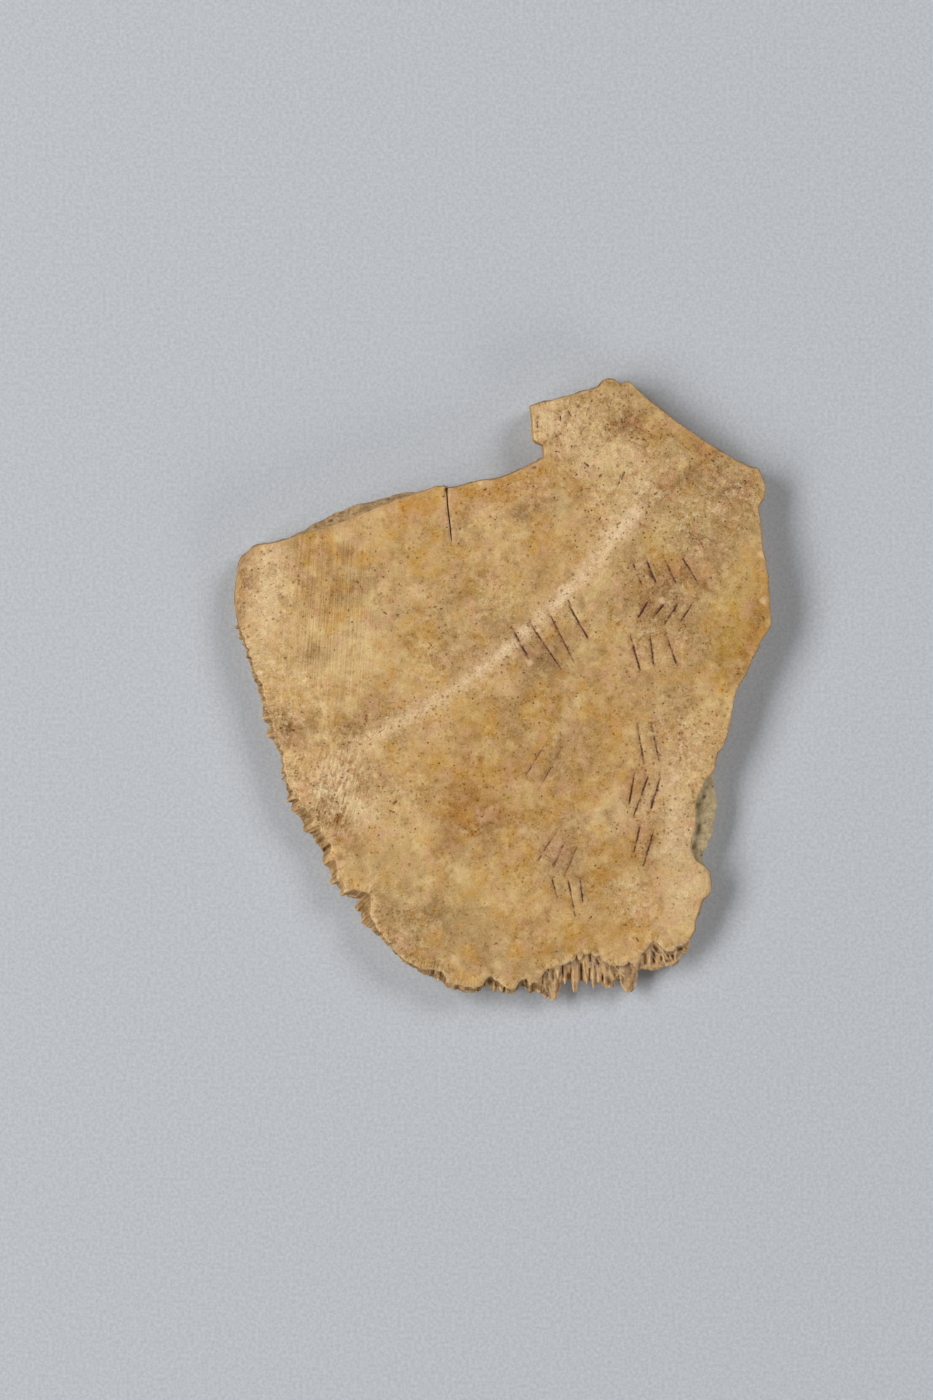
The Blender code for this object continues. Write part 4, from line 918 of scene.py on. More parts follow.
def nearest_on_margin(points, ring):
    """For each point, the distance to the ring and the index of its nearest vertex."""
    nearest = np.empty(len(points), int)
    for first in range(0, len(points), BLOCK):
        block = points[first:first + BLOCK]
        square = (block**2).sum(axis=1)[:, None] - 2 * block @ ring.T + (ring**2).sum(axis=1)
        nearest[first:first + BLOCK] = square.argmin(axis=1)
    before, here, after = (ring[(nearest + shift) % len(ring)] for shift in (-1, 0, 1))
    return np.minimum(beside(points, before, here)[1], beside(points, here, after)[1]), nearest


def inside(points, ring):
    """Which points lie inside the ring, by counting the edges that a ray to +X crosses."""
    a, b = ring, np.roll(ring, -1, axis=0)
    rise = np.where(a[:, 1] == b[:, 1], 1.0, b[:, 1] - a[:, 1])
    slope = (b[:, 0] - a[:, 0]) / rise
    found = np.zeros(len(points), bool)
    for first in range(0, len(points), BLOCK):
        x, y = points[first:first + BLOCK, :1], points[first:first + BLOCK, 1:]
        spans = (a[None, :, 1] > y) != (b[None, :, 1] > y)
        crossing = a[None, :, 0] + (y - a[None, :, 1]) * slope[None]
        found[first:first + BLOCK] = (spans & (x < crossing)).sum(axis=1) % 2
    return found


def within(points, ring, clearance):
    """The points that lie inside the ring and further from it than the clearance."""
    points = points[inside(points, ring)]
    return points[nearest_on_margin(points, ring)[0] > clearance]


def strokes(rng):
    """Each incised stroke as (head, tail, ink), from the rows."""
    found = []
    for row in ROWS:
        for i in range(row.count):
            head = np.array(row.head) + i * np.array(row.step) + rng.uniform(*STROKE_SHIFT, 2)
            turn = rng.uniform(*STROKE_TURN)
            spin = np.array([[math.cos(turn), -math.sin(turn)], [math.sin(turn), math.cos(turn)]])
            stroke = spin @ np.array(row.stroke) * rng.uniform(*STROKE_LENGTH)
            found.append((head, head + stroke, row.ink * rng.uniform(*STROKE_INK)))
    return found


def cut_points(cuts):
    """Points down the middle and both lips of each cut, given as its path and half width."""
    points = []
    for path, half_width in cuts:
        path = np.array(path)
        legs = np.linalg.norm(np.diff(path, axis=0), axis=1)
        arc = np.concatenate([[0], np.cumsum(legs)])
        spots = np.arange(0, arc[-1], STROKE_STEP)
        middle = np.stack([np.interp(spots, arc, path[:, i]) for i in (0, 1)], axis=1)
        ways = unit(np.gradient(middle, axis=0))
        aside = np.stack([-ways[:, 1], ways[:, 0]], axis=1) * half_width
        points += [middle, middle + aside, middle - aside]
    return np.concatenate(points)


def pit_paths():
    """The middle line of each pit, as its two ends."""
    for pit in PITS:
        half = 0.5 * pit.length * way(pit.turn)
        middle = np.array((pit.x, pit.y))
        yield middle - half, middle + half


def pit_points():
    """Points in and round each pit."""
    turns = np.radians(np.arange(0, 360, 60))
    ring = np.stack([np.cos(turns), np.sin(turns)], axis=1)
    points = []
    for pit, ends in zip(PITS, pit_paths()):
        for end in (*ends, (ends[0] + ends[1]) / 2):
            points += [end[None], end + ring * pit.width]
    return np.concatenate(points)


def grid_points(ring, cell):
    """A triangular grid inside the ring, clear of it."""
    low, high = ring.min(axis=0), ring.max(axis=0)
    rows = np.arange(low[1], high[1], cell * math.sqrt(3) / 2)
    x = np.arange(low[0], high[0], cell)
    points = np.concatenate([np.stack([x + (cell / 2 if row % 2 else 0), np.full(len(x), y)], 1)
                             for row, y in enumerate(rows)])
    return within(points, ring, 0.5 * cell)


def thinned(groups):
    """The groups' points joined, each left out if it comes too near one kept before it."""
    every = np.concatenate([points for points, _ in groups])
    gaps = np.concatenate([np.full(len(points), gap) for points, gap in groups])
    tree = kdtree.KDTree(len(every))
    for i, point in enumerate(flat(every).tolist()):
        tree.insert(point, i)
    tree.balance()
    kept = np.ones(len(every), bool)
    for i, point in enumerate(flat(every).tolist()):
        kept[i] = not any(j < i and kept[j] for _, j, _ in tree.find_range(point, gaps[i]))
    return every[kept]


def face_points(margin, ring, cuts):
    """The loose points of the face, closer together along its cuts, pits and worn edge."""
    paths = [((head, tail), STROKE_HALF_WIDTH) for head, tail, _ in cuts]
    paths += [(CRACK, CRACK_HALF_WIDTH)] + [(path, HAIRLINE_HALF_WIDTH) for path, _ in HAIRLINES]
    groups = [(within(points, ring, CUT_CLEARANCE), CUT_GAP)
              for points in (cut_points(paths), pit_points())]
    for i, (inset, gap) in enumerate(INSETS.items()):
        row = (ring - margin.facing * inset)[:: 1 + (i > 1)]
        groups.append((within(row, ring, INSET_CLEARANCE * inset), gap))
    return thinned(groups + [(grid_points(ring, FACE_CELL), FACE_GAP)])


def underside_points(margin, ring):
    """The loose points of the underside."""
    groups = [(within((ring - margin.facing * inset)[::3], ring, UNDERSIDE_CLEARANCE), gap)
              for inset, gap in UNDERSIDE_INSETS.items()]
    return thinned(groups + [(grid_points(ring, UNDERSIDE_CELL), UNDERSIDE_GAP)])


def incised(points, cuts):
    """How deep each point of the face is cut, how dark that is, with painted shade in the pits, and
    the stain round the cuts.
    """
    y = points[:, 1]
    spots = flat(points)
    depth, ink, halo = np.zeros((3, len(points)))
    patchy = layered(spots, INK_PATCHES, 0.5)
    widths = layered(spots, STROKE_WIDTHS, 1)
    shaken = pushed(points, spots, *STROKE_SHAKE)
    least, from_ends, to_tail = STROKE_TAPER
    for head, tail, dark in cuts:
        part, away = beside(shaken, head, tail)
        taper = np.minimum(1, least + from_ends * np.minimum(part, 1 - part) + to_tail * part)
        cut = groove(away, STROKE_HALF_WIDTH * widths) * taper
        depth += STROKE_DEPTH * cut
        ink = np.maximum(ink, dark * cut * np.clip(patchy + INK_COVER, LEAST_INK, 1))
        halo = np.maximum(halo, dark * np.exp(-(away / HALO_WIDTH) ** 2))
    crack = groove(distance_to_path(points, CRACK), CRACK_HALF_WIDTH * (1 + ramp(y, *CRACK_MOUTH)))
    crack *= ramp(y, *CRACK_END)
    depth += CRACK_DEPTH * crack
    ink = np.maximum(ink, crack)
    for path, dark in HAIRLINES:
        away = distance_to_path(points, path)
        line = groove(away, HAIRLINE_HALF_WIDTH)
        depth += HAIRLINE_DEPTH * line
        ink = np.maximum(ink, dark * line * np.clip(patchy + HAIRLINE_COVER, HAIRLINE_LEAST_INK, 1))
        halo = np.maximum(halo, (dark + HAIRLINE_HALO) * np.exp(-(away / HALO_WIDTH) ** 2))
    # Painted shade in the pits, carried with the ink of the cuts.
    for pit, ends in zip(PITS, pit_paths()):
        sunk = groove(distance_to_path(points, ends), pit.width)
        depth += PIT_DEPTH * sunk
        ink = np.maximum(ink, PIT_SHADE * sunk**PIT_SHADE_FALL)
    return depth, ink, halo


def face_surface(points, distance, nearest, margin, cuts):
    """The inscribed face: its heights, how dark its cuts are, and the stain round them."""
    x, y = points.T
    spots = flat(points)
    height = MIDDLE_THICKNESS - THINNING * ((x / HALF_WIDTH) ** 2 + (y / HALF_LENGTH) ** 2)
    for rise, *place in RISES:
        height += rise * mound(points, *place)
    height += layered(spots, UNDULATION)
    height -= FURROW_DEPTH * np.exp(-(distance_to_path(points, FURROW) / FURROW_HALF_WIDTH) ** 2)
    height += layered(spots, FACE_RELIEF)
    along, across = x * SCORE_WAY[0] + y * SCORE_WAY[1], x * SCORE_WAY[1] - y * SCORE_WAY[0]
    scores = flat(np.stack([along / SCORE_SIZE[0], across / SCORE_SIZE[1]], axis=1))
    scraped = layered(scores, SCORES) + layered(spots, SCRAPED_RELIEF)
    height += mound(points, *SCRAPED_HOLLOW) * scraped
    fray = ramp(distance, FRAY_WIDTH, 0) * margin.sutured[nearest]
    combed = flat(np.stack([margin.arc[nearest] / COMB_SIZE[0], distance / COMB_SIZE[1]], axis=1))
    height += fray * (layered(combed, COMB) + layered(spots, FRAY_RELIEF) - FRAY_FALL)
    edge = margin.edge[nearest]
    short = np.clip(edge - distance, 0, None)
    height -= edge - np.sqrt(edge**2 - short**2)
    depth, ink, halo = incised(points, cuts)
    return height - depth, ink, halo


def underside_surface(points, distance):
    """The scraped underside: its heights, and how deep in a hollow each point is."""
    lift = UNDERSIDE_LIFT * np.clip(1 - distance / UNDERSIDE_LIFT_WIDTH, 0, 1) ** 2
    height = lift
    for x, y in HOLLOWS:
        across = np.abs(points[:, 0] - x)
        along = np.clip(1 - (2 * (points[:, 1] - y) / SLOT_LENGTH) ** 2, 0, 1)
        half_width = np.maximum(0.5 * SLOT_WIDTH * np.sqrt(along), 1e-6)
        slot = SLOT_DEPTH * np.clip(1 - across / half_width, 0, 1) * np.sqrt(along)
        off_bowl = np.hypot(points[:, 0] - x - BOWL_OFFSET, points[:, 1] - y)
        bowl = BOWL_DEPTH * np.sqrt(np.clip(1 - (off_bowl / BOWL_RADIUS) ** 2, 0, 1))
        height = np.maximum(height, np.maximum(slot, bowl))
    hollow = np.clip((height - lift) / SCORCH_DEPTH, 0, 1)
    height = height + hollow * layered(flat(points / np.array(CHISEL_SIZE)), CHISEL_MARKS)
    relief = layered(flat(points), UNDERSIDE_RELIEF, UNDERSIDE_CLEAR)
    height += ramp(distance, *UNDERSIDE_RIM) * relief
    return height, hollow


# --- the mesh -------------------------------------------------------------------------------


def cap(ring, loose):
    """Triangles, counter-clockwise from above, over the ring and the loose points inside it."""
    points = [Vector(p) for p in np.concatenate([ring, loose]).tolist()]
    found = delaunay_2d_cdt(points, [], [list(range(len(ring)))], 1, 1e-6, True)
    order = np.array([sources[0] for sources in found[3]])
    faces = order[np.array(found[2])]
    corners = np.array([tuple(p) for p in found[0]])[np.array(found[2])]
    kept = (faces >= len(ring)).any(axis=1)
    kept[~kept] = inside(corners[~kept].mean(axis=1), ring)
    return faces[kept]


def closed_plate(rng):
    """Vertices in millimetres, triangles, values for each vertex, and the layout."""
    margin = margin_of(MARGIN)
    gaps = suture_gaps(margin, rng)
    margin = frayed(margin, gaps)
    cuts = strokes(rng)
    rim = np.zeros(len(margin.points))
    every = np.arange(len(margin.points))
    top, rim_ink, _ = face_surface(margin.points, rim, every, margin, cuts)
    bottom, _ = underside_surface(margin.points, rim)
    wall, on_wall = wall_of(margin, top, bottom, gaps, rng)
    count, levels = wall.shape[:2]

    face_ring, under_ring = wall[:, 0, :2], wall[:, -1, :2]
    face_loose = face_points(margin, face_ring, cuts)
    distance, nearest = nearest_on_margin(face_loose, face_ring)
    face_z, ink, halo = face_surface(face_loose, distance, nearest, margin, cuts)
    under_loose = underside_points(margin, under_ring)
    under_z, hollow = underside_surface(under_loose, nearest_on_margin(under_loose, under_ring)[0])
    vertices = np.concatenate([wall.reshape(-1, 3), np.column_stack([face_loose, face_z]),
                               np.column_stack([under_loose, under_z])])

    i, k = np.meshgrid(np.arange(count), np.arange(levels - 1), indexing="ij")
    a, b = (i * levels + k).ravel(), ((i + 1) % count * levels + k).ravel()
    sides = np.concatenate([np.stack([a, a + 1, b + 1], 1), np.stack([a, b + 1, b], 1)])
    rim_at = np.arange(count) * levels
    face_at = count * levels + np.arange(len(face_loose))
    under_at = count * levels + len(face_loose) + np.arange(len(under_loose))
    upper = np.concatenate([rim_at, face_at])[cap(face_ring, face_loose)]
    lower = np.concatenate([rim_at + levels - 1, under_at])[cap(under_ring, under_loose)][:, ::-1]

    on_wall["ink"] = np.zeros((count, levels))
    on_wall["ink"][:, 0] = rim_ink
    on_wall.update(sutured=margin.sutured[:, None], arc=margin.arc[:, None])
    for kind, names in KIND_STRETCHES.items():
        mine = in_stretch(margin, *names)[:, None].astype(float)
        on_wall[kind] = blurred(mine, margin.arc, margin.total, KIND_BLEND)
    furrow = groove(distance_to_path(face_loose, FURROW), FURROW_STAIN)
    furrow *= ramp(face_loose[:, 0], *FURROW_STAIN_FADE)
    on_face = {"ink": ink, "halo": halo, "sutured": margin.sutured[nearest], "inward": distance,
               "arc": margin.arc[nearest], "furrow": furrow}
    parts = ((on_wall, (count, levels)), (on_face, len(face_loose)),
             ({"depth": 1.0, "hollow": hollow}, len(under_loose)))
    values = {name: np.concatenate([np.broadcast_to(part.get(name, 0.0), shape).ravel()
                                    for part, shape in parts])
              for name in (*on_wall, "halo", "inward", "furrow", "hollow")}
    faces = np.concatenate([sides, upper, lower])
    return vertices, faces, values, Layout(margin, count, levels, len(sides), len(upper))


def fields(points, places):
    """The strongest of several round fields at each point: each is x, y, radius and amount."""
    return np.max([amount * np.exp(-(np.hypot(points[:, 0] - x, points[:, 1] - y) / radius) ** 2)
                   for x, y, radius, amount in places], axis=0)


def finish_maps(points):
    """Where each kind of finish shows on the face, from 0 to 1."""
    near_furrow = groove(distance_to_path(points[:, :2], FURROW), FURROW_WEAR)
    wander = layered(points, FINISH_WANDER)
    maps = {name: fields(points, places) for name, places in FIELDS.items()}
    maps["pores"] = LEAST_PORES + np.maximum(maps["pores"], FURROW_PORES * near_furrow)
    maps["worn"] = np.maximum(maps["worn"], near_furrow)
    maps = {name: np.clip(value + wander, 0, 1) for name, value in maps.items()}
    return maps | {"scraped": mound(points, *SCRAPED), "striated": mound(points, *STRIATED)}


def patch_colours(points):
    """The face's broad colour at each point, and how much of it covers the bone's own."""
    colour = np.zeros((len(points), 3))
    cover = np.zeros(len(points))
    spots = pushed(points[:, :2], points, *PATCH_WANDER)
    for tint, places in PATCHES.items():
        for x, y, long, wide, turn, most in places:
            ahead = way(turn)
            along = (spots - (x, y)) @ ahead / long
            across = (spots - (x, y)) @ (-ahead[1], ahead[0]) / wide
            amount = most * np.exp(-(along**2 + across**2))
            colour = colour * (1 - amount)[:, None] + amount[:, None] * linear(tint)
            cover = cover + amount - cover * amount
    return colour / np.maximum(cover, 1e-6)[:, None], cover


def unwrapped(vertices, faces, layout):
    """A texture place for each corner of each triangle: the two faces flat, the wall in strips."""
    margin, count, levels, side_count, upper_count = layout
    place = (vertices[faces][:, :, :2] - vertices[:, :2].min(axis=0)) * UV_SCALE + UV_MARGIN
    place[side_count + upper_count:, :, 0] += UNDERSIDE_SHIFT
    arc = np.append(margin.arc, margin.total)
    strip_length = margin.total / UV_STRIPS
    owner = np.arange(side_count) % (side_count // 2) // (levels - 1)
    corner = faces[:side_count]
    column = corner // levels
    column = np.where((column == 0) & (owner[:, None] > 1), count, column)
    strip = np.minimum((arc[owner] / strip_length).astype(int), UV_STRIPS - 1)[:, None]
    wall = vertices[:count * levels].reshape(count, levels, 3)
    run = np.cumsum(np.linalg.norm(np.diff(wall, axis=1), axis=2), axis=1)
    run = np.concatenate([np.zeros((count, 1)), run], axis=1)
    down = run / run.max(axis=1, keepdims=True)
    across = (arc[column] - strip * strip_length) * WALL_STRETCH * UV_SCALE
    place[:side_count, :, 0] = across + WALL_MARGIN
    place[:side_count, :, 1] = (STRIPS_FROM + STRIP_PITCH * strip
                                + STRIP_HEIGHT * down[corner // levels, corner % levels])
    return place


def crease(mesh, layout):
    """Marks the face's edge sharp along the breaks, which aren't worn."""
    ends = np.empty(2 * len(mesh.edges), np.int32)
    mesh.edges.foreach_get("vertices", ends)
    on_rim = (ends < layout.count * layout.levels) & (ends % layout.levels == 0)
    fresh = (layout.margin.edge < FRESH_EDGE) & ~layout.margin.sutured
    sharp = on_rim & fresh[np.minimum(ends // layout.levels, layout.count - 1)]
    mesh.attributes.new("sharp_edge", "BOOLEAN", "EDGE").data.foreach_set(
        "value", sharp.reshape(-1, 2).all(axis=1))


def skin_piece():
    vertices, faces, values, layout = closed_plate(np.random.default_rng(SEED))
    low, high = (np.array(corner[:2]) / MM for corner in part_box(NODE))
    shift = (low + high) / 2 - (vertices[:, :2].min(axis=0) + vertices[:, :2].max(axis=0)) / 2
    mesh = bpy.data.meshes.new(SKIN)
    mesh.from_pydata(((vertices + (*shift, 0)) * MM).tolist(), [], faces.tolist())
    colours, values["patch_cover"] = patch_colours(vertices)
    values.update(finish_maps(vertices))
    for name, value in values.items():
        carried = mesh.attributes.new(name, "FLOAT", "POINT").data
        carried.foreach_set("value", value.astype(np.float32))
    patch = mesh.attributes.new("patch", "FLOAT_COLOR", "POINT").data
    patch.foreach_set("color", np.column_stack([colours, np.ones(len(colours))]).ravel())
    places = unwrapped(vertices, faces, layout)
    mesh.uv_layers.new(name="OFBake").data.foreach_set("uv", places.astype(np.float32).ravel())
    mesh.shade_smooth()
    mesh.validate()
    crease(mesh, layout)
    return add_object(SKIN, mesh)


# --- materials ------------------------------------------------------------------------------


class Nodes:
    """Builds a material's nodes with one call for each."""

    def __init__(self, material):
        material.use_nodes = True
        self.tree = material.node_tree
        self.shader = self.tree.nodes["Principled BSDF"]

    def give(self, sockets, values):
        """Links each named or numbered socket to the value given, or sets it."""
        for key, value in values.items():
            if isinstance(value, bpy.types.NodeSocket):
                self.tree.links.new(value, sockets[key])
            else:
                sockets[key].default_value = value

    def add(self, kind, inputs, out=0, **settings):
        node = self.tree.nodes.new("ShaderNode" + kind)
        for name, value in settings.items():
            setattr(node, name, value)
        self.give(node.inputs, inputs)
        return node.outputs[out]

    def __getitem__(self, name):
        """A value that the mesh carries."""
        return self.add("Attribute", {}, "Fac", attribute_name=name)

    def math(self, operation, *values):
        return self.add("Math", dict(enumerate(values)), operation=operation)

    def mul(self, a, b):
        return self.math("MULTIPLY", a, b)

    def mad(self, a, b, c):
        return self.math("MULTIPLY_ADD", a, b, c)

    def ramp(self, value, low, high, low_out=0.0, high_out=1.0):
        inputs = dict(enumerate((value, low, high, low_out, high_out)))
        return self.add("MapRange", inputs, interpolation_type="SMOOTHSTEP")

    def mix(self, amount, a, b, blend="MIX"):
        """Colour a with so much of b over it. A colour is a socket or an sRGB triple."""
        a, b = (rgba(c) if isinstance(c, tuple) else c for c in (a, b))
        inputs = {MIX_FACTOR: amount, MIX_A: a, MIX_B: b}
        return self.add("Mix", inputs, MIX_RESULT, data_type="RGBA", blend_type=blend)

    def over(self, colour, tint, *masks):
        """The colour with a tint over it, as much of it as all the masks multiplied give."""
        return self.mix(reduce(self.mul, masks), colour, tint)

    def place(self, stretch=None, turn=0.0):
        """Object coordinates in millimetres, turned about Z and then divided by the stretch."""
        inputs = {"Vector": self.add("TexCoord", {}, "Object"),
                  "Rotation": (0, 0, math.radians(-turn)), "Scale": (1 / MM,) * 3}
        place = self.add("Mapping", inputs)
        if stretch is None:
            return place
        return self.add("Mapping", {"Vector": place, "Scale": tuple(1 / s for s in stretch)})

    def across_margin(self, pitch, length=1.6):
        """Coordinates whose noise runs in lines square to the margin."""
        return self.add("CombineXYZ", {0: self.math("DIVIDE", self["arc"], pitch),
                                       1: self.math("DIVIDE", self["inward"], length),
                                       2: self["depth"]})

    def noise(self, size, detail, seed, roughness=0.5, where=None):
        """Noise from 0 to 1, with features about the given size in millimetres."""
        inputs = {"Vector": where or self.place(), "W": seed, "Scale": 1 / size,
                  "Detail": detail, "Roughness": roughness}
        return self.add("TexNoise", inputs, noise_dimensions="4D")

    def veil(self, size, detail, seed, low, high, low_out=0.0, high_out=1.0, roughness=0.5,
             where=None):
        """Noise as a smooth step between two values, where it passes from low to high."""
        noise_value = self.noise(size, detail, seed, roughness, where)
        return self.ramp(noise_value, low, high, low_out, high_out)

    def lines(self, detail, seed, low, high, amount, where, roughness=0.5):
        """Lighter and darker lines along the given coordinates, by plus and minus the amount."""
        return self.veil(1.0, detail, seed, low, high, -amount, amount, roughness, where)

    def blots(self, colour, blots):
        """The colour with each blot's irregular patches laid over it in turn."""
        for blot in blots:
            masks = [self.veil(blot.size, 3, blot.seed, blot.low, blot.high, 0, blot.amount,
                               blot.roughness)]
            if blot.where:
                waxy = blot.where == "waxy"
                masks.append(self.math("SUBTRACT", 1.0, self["worn"]) if waxy else self[blot.where])
            colour = self.over(colour, blot.tint, *masks)
        return colour

    def lifted(self, colour, amount):
        """The colour made lighter or darker by an even step of tone, whatever its hue."""
        return self.add("VectorMath", {0: amount, 1: EVEN_STEP, 2: colour},
                        operation="MULTIPLY_ADD")

    def cells(self, size, where, feature="F1"):
        """How far the middle or the edge of the nearest cell is."""
        inputs = {"Vector": where, "Scale": 1 / size}
        return self.add("TexVoronoi", inputs, "Distance", feature=feature)

    def near_suture(self):
        """1 at a sutured edge, falling to 0 within the face."""
        return self.mul(self["sutured"], self.ramp(self["inward"], 0.1, 1.7, 1, 0))


def face_colour(n):
    """The polished face: broad patches, mottling, scrapes, stains, a pale net and the furrow."""
    base = n.mix(n.veil(7.0, 3, 1.0, 0.4, 0.62), (206, 168, 112), (180, 144, 94))
    patch = n.add("Attribute", {}, "Color", attribute_name="patch")
    colour = n.mix(n["patch_cover"], n.blots(base, BASE_BLOTS), patch)
    colour = n.blots(colour, FACE_BLOTS)
    push = n.add("TexNoise", {"Vector": n.place(), "Scale": NET_PUSH_SCALE}, "Color")
    warped = n.add("VectorMath", {0: push, 1: (NET_PUSH,) * 3, 2: n.place()},
                   operation="MULTIPLY_ADD")
    net = n.ramp(n.cells(1.1, warped, "DISTANCE_TO_EDGE"), 0.0, 0.25, 1, 0)
    colour = n.over(colour, (230, 200, 144), net, n.veil(1.4, 3, 7.5, 0.4, 0.65, 0, 0.55),
                    n["netted"])
    ragged = n.mad(n.noise(1.6, 5, 8.0, 0.6), 1.6, n["furrow"])
    colour = n.over(colour, (224, 190, 142), n.ramp(n["furrow"], 0.1, 0.95, 0, 0.3))
    colour = n.over(colour, (232, 202, 160), n.ramp(ragged, 1.35, 1.85, 0, 0.9),
                    n.veil(3.6, 3, 8.2, 0.38, 0.6, 0.4, 1))
    colour = n.over(colour, (160, 108, 66), n["halo"],
                    n.veil(0.7, 3, 8.8, 0.38, 0.62, 0, 0.65, 0.65))
    # A painted highlight: a pale line along the face's edge at the sutures.
    colour = n.over(colour, (232, 206, 164), n["sutured"], n.ramp(n["inward"], 0.03, 0.2, 1, 0),
                    n.veil(0.7, 3, 8.9, 0.4, 0.58, 0, 0.6, 0.65))

    specks = n.veil(0.3, 3, 8.5, 0.57, 0.7, 0, -0.34, 0.65)
    specks = n.mad(n.veil(0.26, 3, 8.7, 0.57, 0.7, 0, 0.24, 0.65), n["worn"], specks)
    fine = n.veil(0.17, 3, 9.0, 0.28, 0.72, -1, 1, 0.75)
    medium = n.veil(0.6, 3, 9.5, 0.28, 0.72, -0.5, 0.5, 0.6)
    grain = n.mul(n.math("ADD", fine, medium), n.mad(n["worn"], 0.12, 0.12))
    grain = n.math("ADD", grain, specks)
    streaks = n.lines(2, 10.0, 0.35, 0.65, 0.13, n.place((0.13, 5.0, 1.0), STREAK_TURN))
    scores = n.lines(4, 11.0, 0.36, 0.64, 0.24, n.place((0.28, 1.3, 1.0), SCORE_TURN), 0.65)
    comb = n.lines(2, 12.0, 0.35, 0.65, 0.16, n.across_margin(0.16))
    for marks, where in ((streaks, n["striated"]), (scores, n["scraped"]), (comb, n.near_suture())):
        grain = n.mad(marks, where, grain)
    return n.lifted(colour, grain)


def pore_mask(n, size, radius, share, seed):
    """Small round holes: about the given share of cells where pores are dense has one."""
    distance = n.cells(1.0, n.place((size, size, size), seed))
    chance = n.add("SeparateColor", {"Color": distance.node.outputs["Color"]})
    dense = n.mul(n.mad(n["halo"], 0.45, n["pores"]), share)
    chosen = n.math("LESS_THAN", chance, dense)
    return n.mul(chosen, n.ramp(distance, radius * 0.5, radius, 1, 0))


def wall_colour(n):
    """Broken and sutured bone: a pale skin at the face, a darker and coarser core."""
    core = n.mix(n.veil(0.9, 4, 20.0, 0.35, 0.65), (146, 113, 72), (186, 150, 100))
    colour = n.mix(n.ramp(n["depth"], 0.04, 0.2), (188, 149, 98), core)
    for i, (kind, dark, light, amount) in enumerate(WALL_KINDS):
        own = n.mix(n.veil(0.6, 4, 21.0 + i, 0.35, 0.65, roughness=0.65), dark, light)
        ragged = n.mad(n.noise(1.1, 3, 34.0 + i), 0.9, n[kind])
        colour = n.over(colour, own, n.ramp(ragged, 0.75, 1.15, 0, amount))
    colour = n.over(colour, (156, 130, 102), n["pegged"], n.ramp(n["depth"], 0.3, 0.6, 0, 0.6))
    colour = n.blots(colour, [PEG_BLOT])
    # Painted shade in the open cells of the inner bone, darker as they get deeper.
    colour = n.over(colour, (88, 62, 35), n.ramp(n["holes"], 0.04, 0.2, 0, 0.82))
    # Painted shadow: dark lines some way below the edge of the sutures, under the lip, and right
    # under it over the pegs.
    unpegged = n.math("SUBTRACT", n["sutured"], n["pegged"])
    colour = n.over(colour, (116, 84, 54), n.ramp(n["depth"], 0.05, 0.12),
                    n.ramp(n["depth"], 0.3, 0.16), unpegged,
                    n.veil(0.9, 2, 28.0, 0.35, 0.6, 0, 0.45))
    colour = n.over(colour, (112, 84, 58), n.ramp(n["depth"], 0.0, 0.02),
                    n.ramp(n["depth"], 0.13, 0.05), n["pegged"],
                    n.veil(0.8, 2, 28.5, 0.35, 0.6, 0.15, 0.6))
    # Painted shade in the dips and in the gaps between the little teeth, a little less over the
    # pegs.
    colour = n.over(colour, (112, 81, 51), n["shade"], n.mad(n["pegged"], -0.15, 1.0))
    # Painted highlight along the crests.
    colour = n.over(colour, (230, 200, 158), n["crest"], 0.55)
    colour = n.blots(colour, [WALL_BLOT])
    fine = n.veil(0.2, 3, 25.0, 0.25, 0.75, -0.13, 0.13, 0.7)
    grain = n.mad(n.lines(2, 26.0, 0.35, 0.65, 0.15, n.across_margin(0.2)), unpegged, fine)
    flutes = n.veil(1.0, 2, 27.0, 0.4, 0.6, -0.06, 0.08, where=n.across_margin(0.5))
    return n.lifted(colour, n.mad(flutes, n["pegged"], grain))


def underside_colour(n):
    """The scraped underside: paler and greyer, scorched brown in its hollows."""
    colour = n.mix(n.veil(5.0, 3, 30.0, 0.4, 0.62), (188, 160, 118), (164, 134, 94))
    streaks = n.veil(1.0, 3, 31.0, 0.3, 0.7, 0.86, 1.1, where=n.place((0.22, 4.0, 1.0), 24))
    colour = n.mix(1.0, colour, streaks, "MULTIPLY")
    colour = n.over(colour, (84, 58, 36), n["hollow"], n.veil(1.6, 3, 32.0, 0.3, 0.6, 0.35, 0.85))
    return n.mix(1.0, colour, n.veil(0.3, 3, 33.0, 0.25, 0.75, 0.86, 1.12, 0.7), "MULTIPLY")


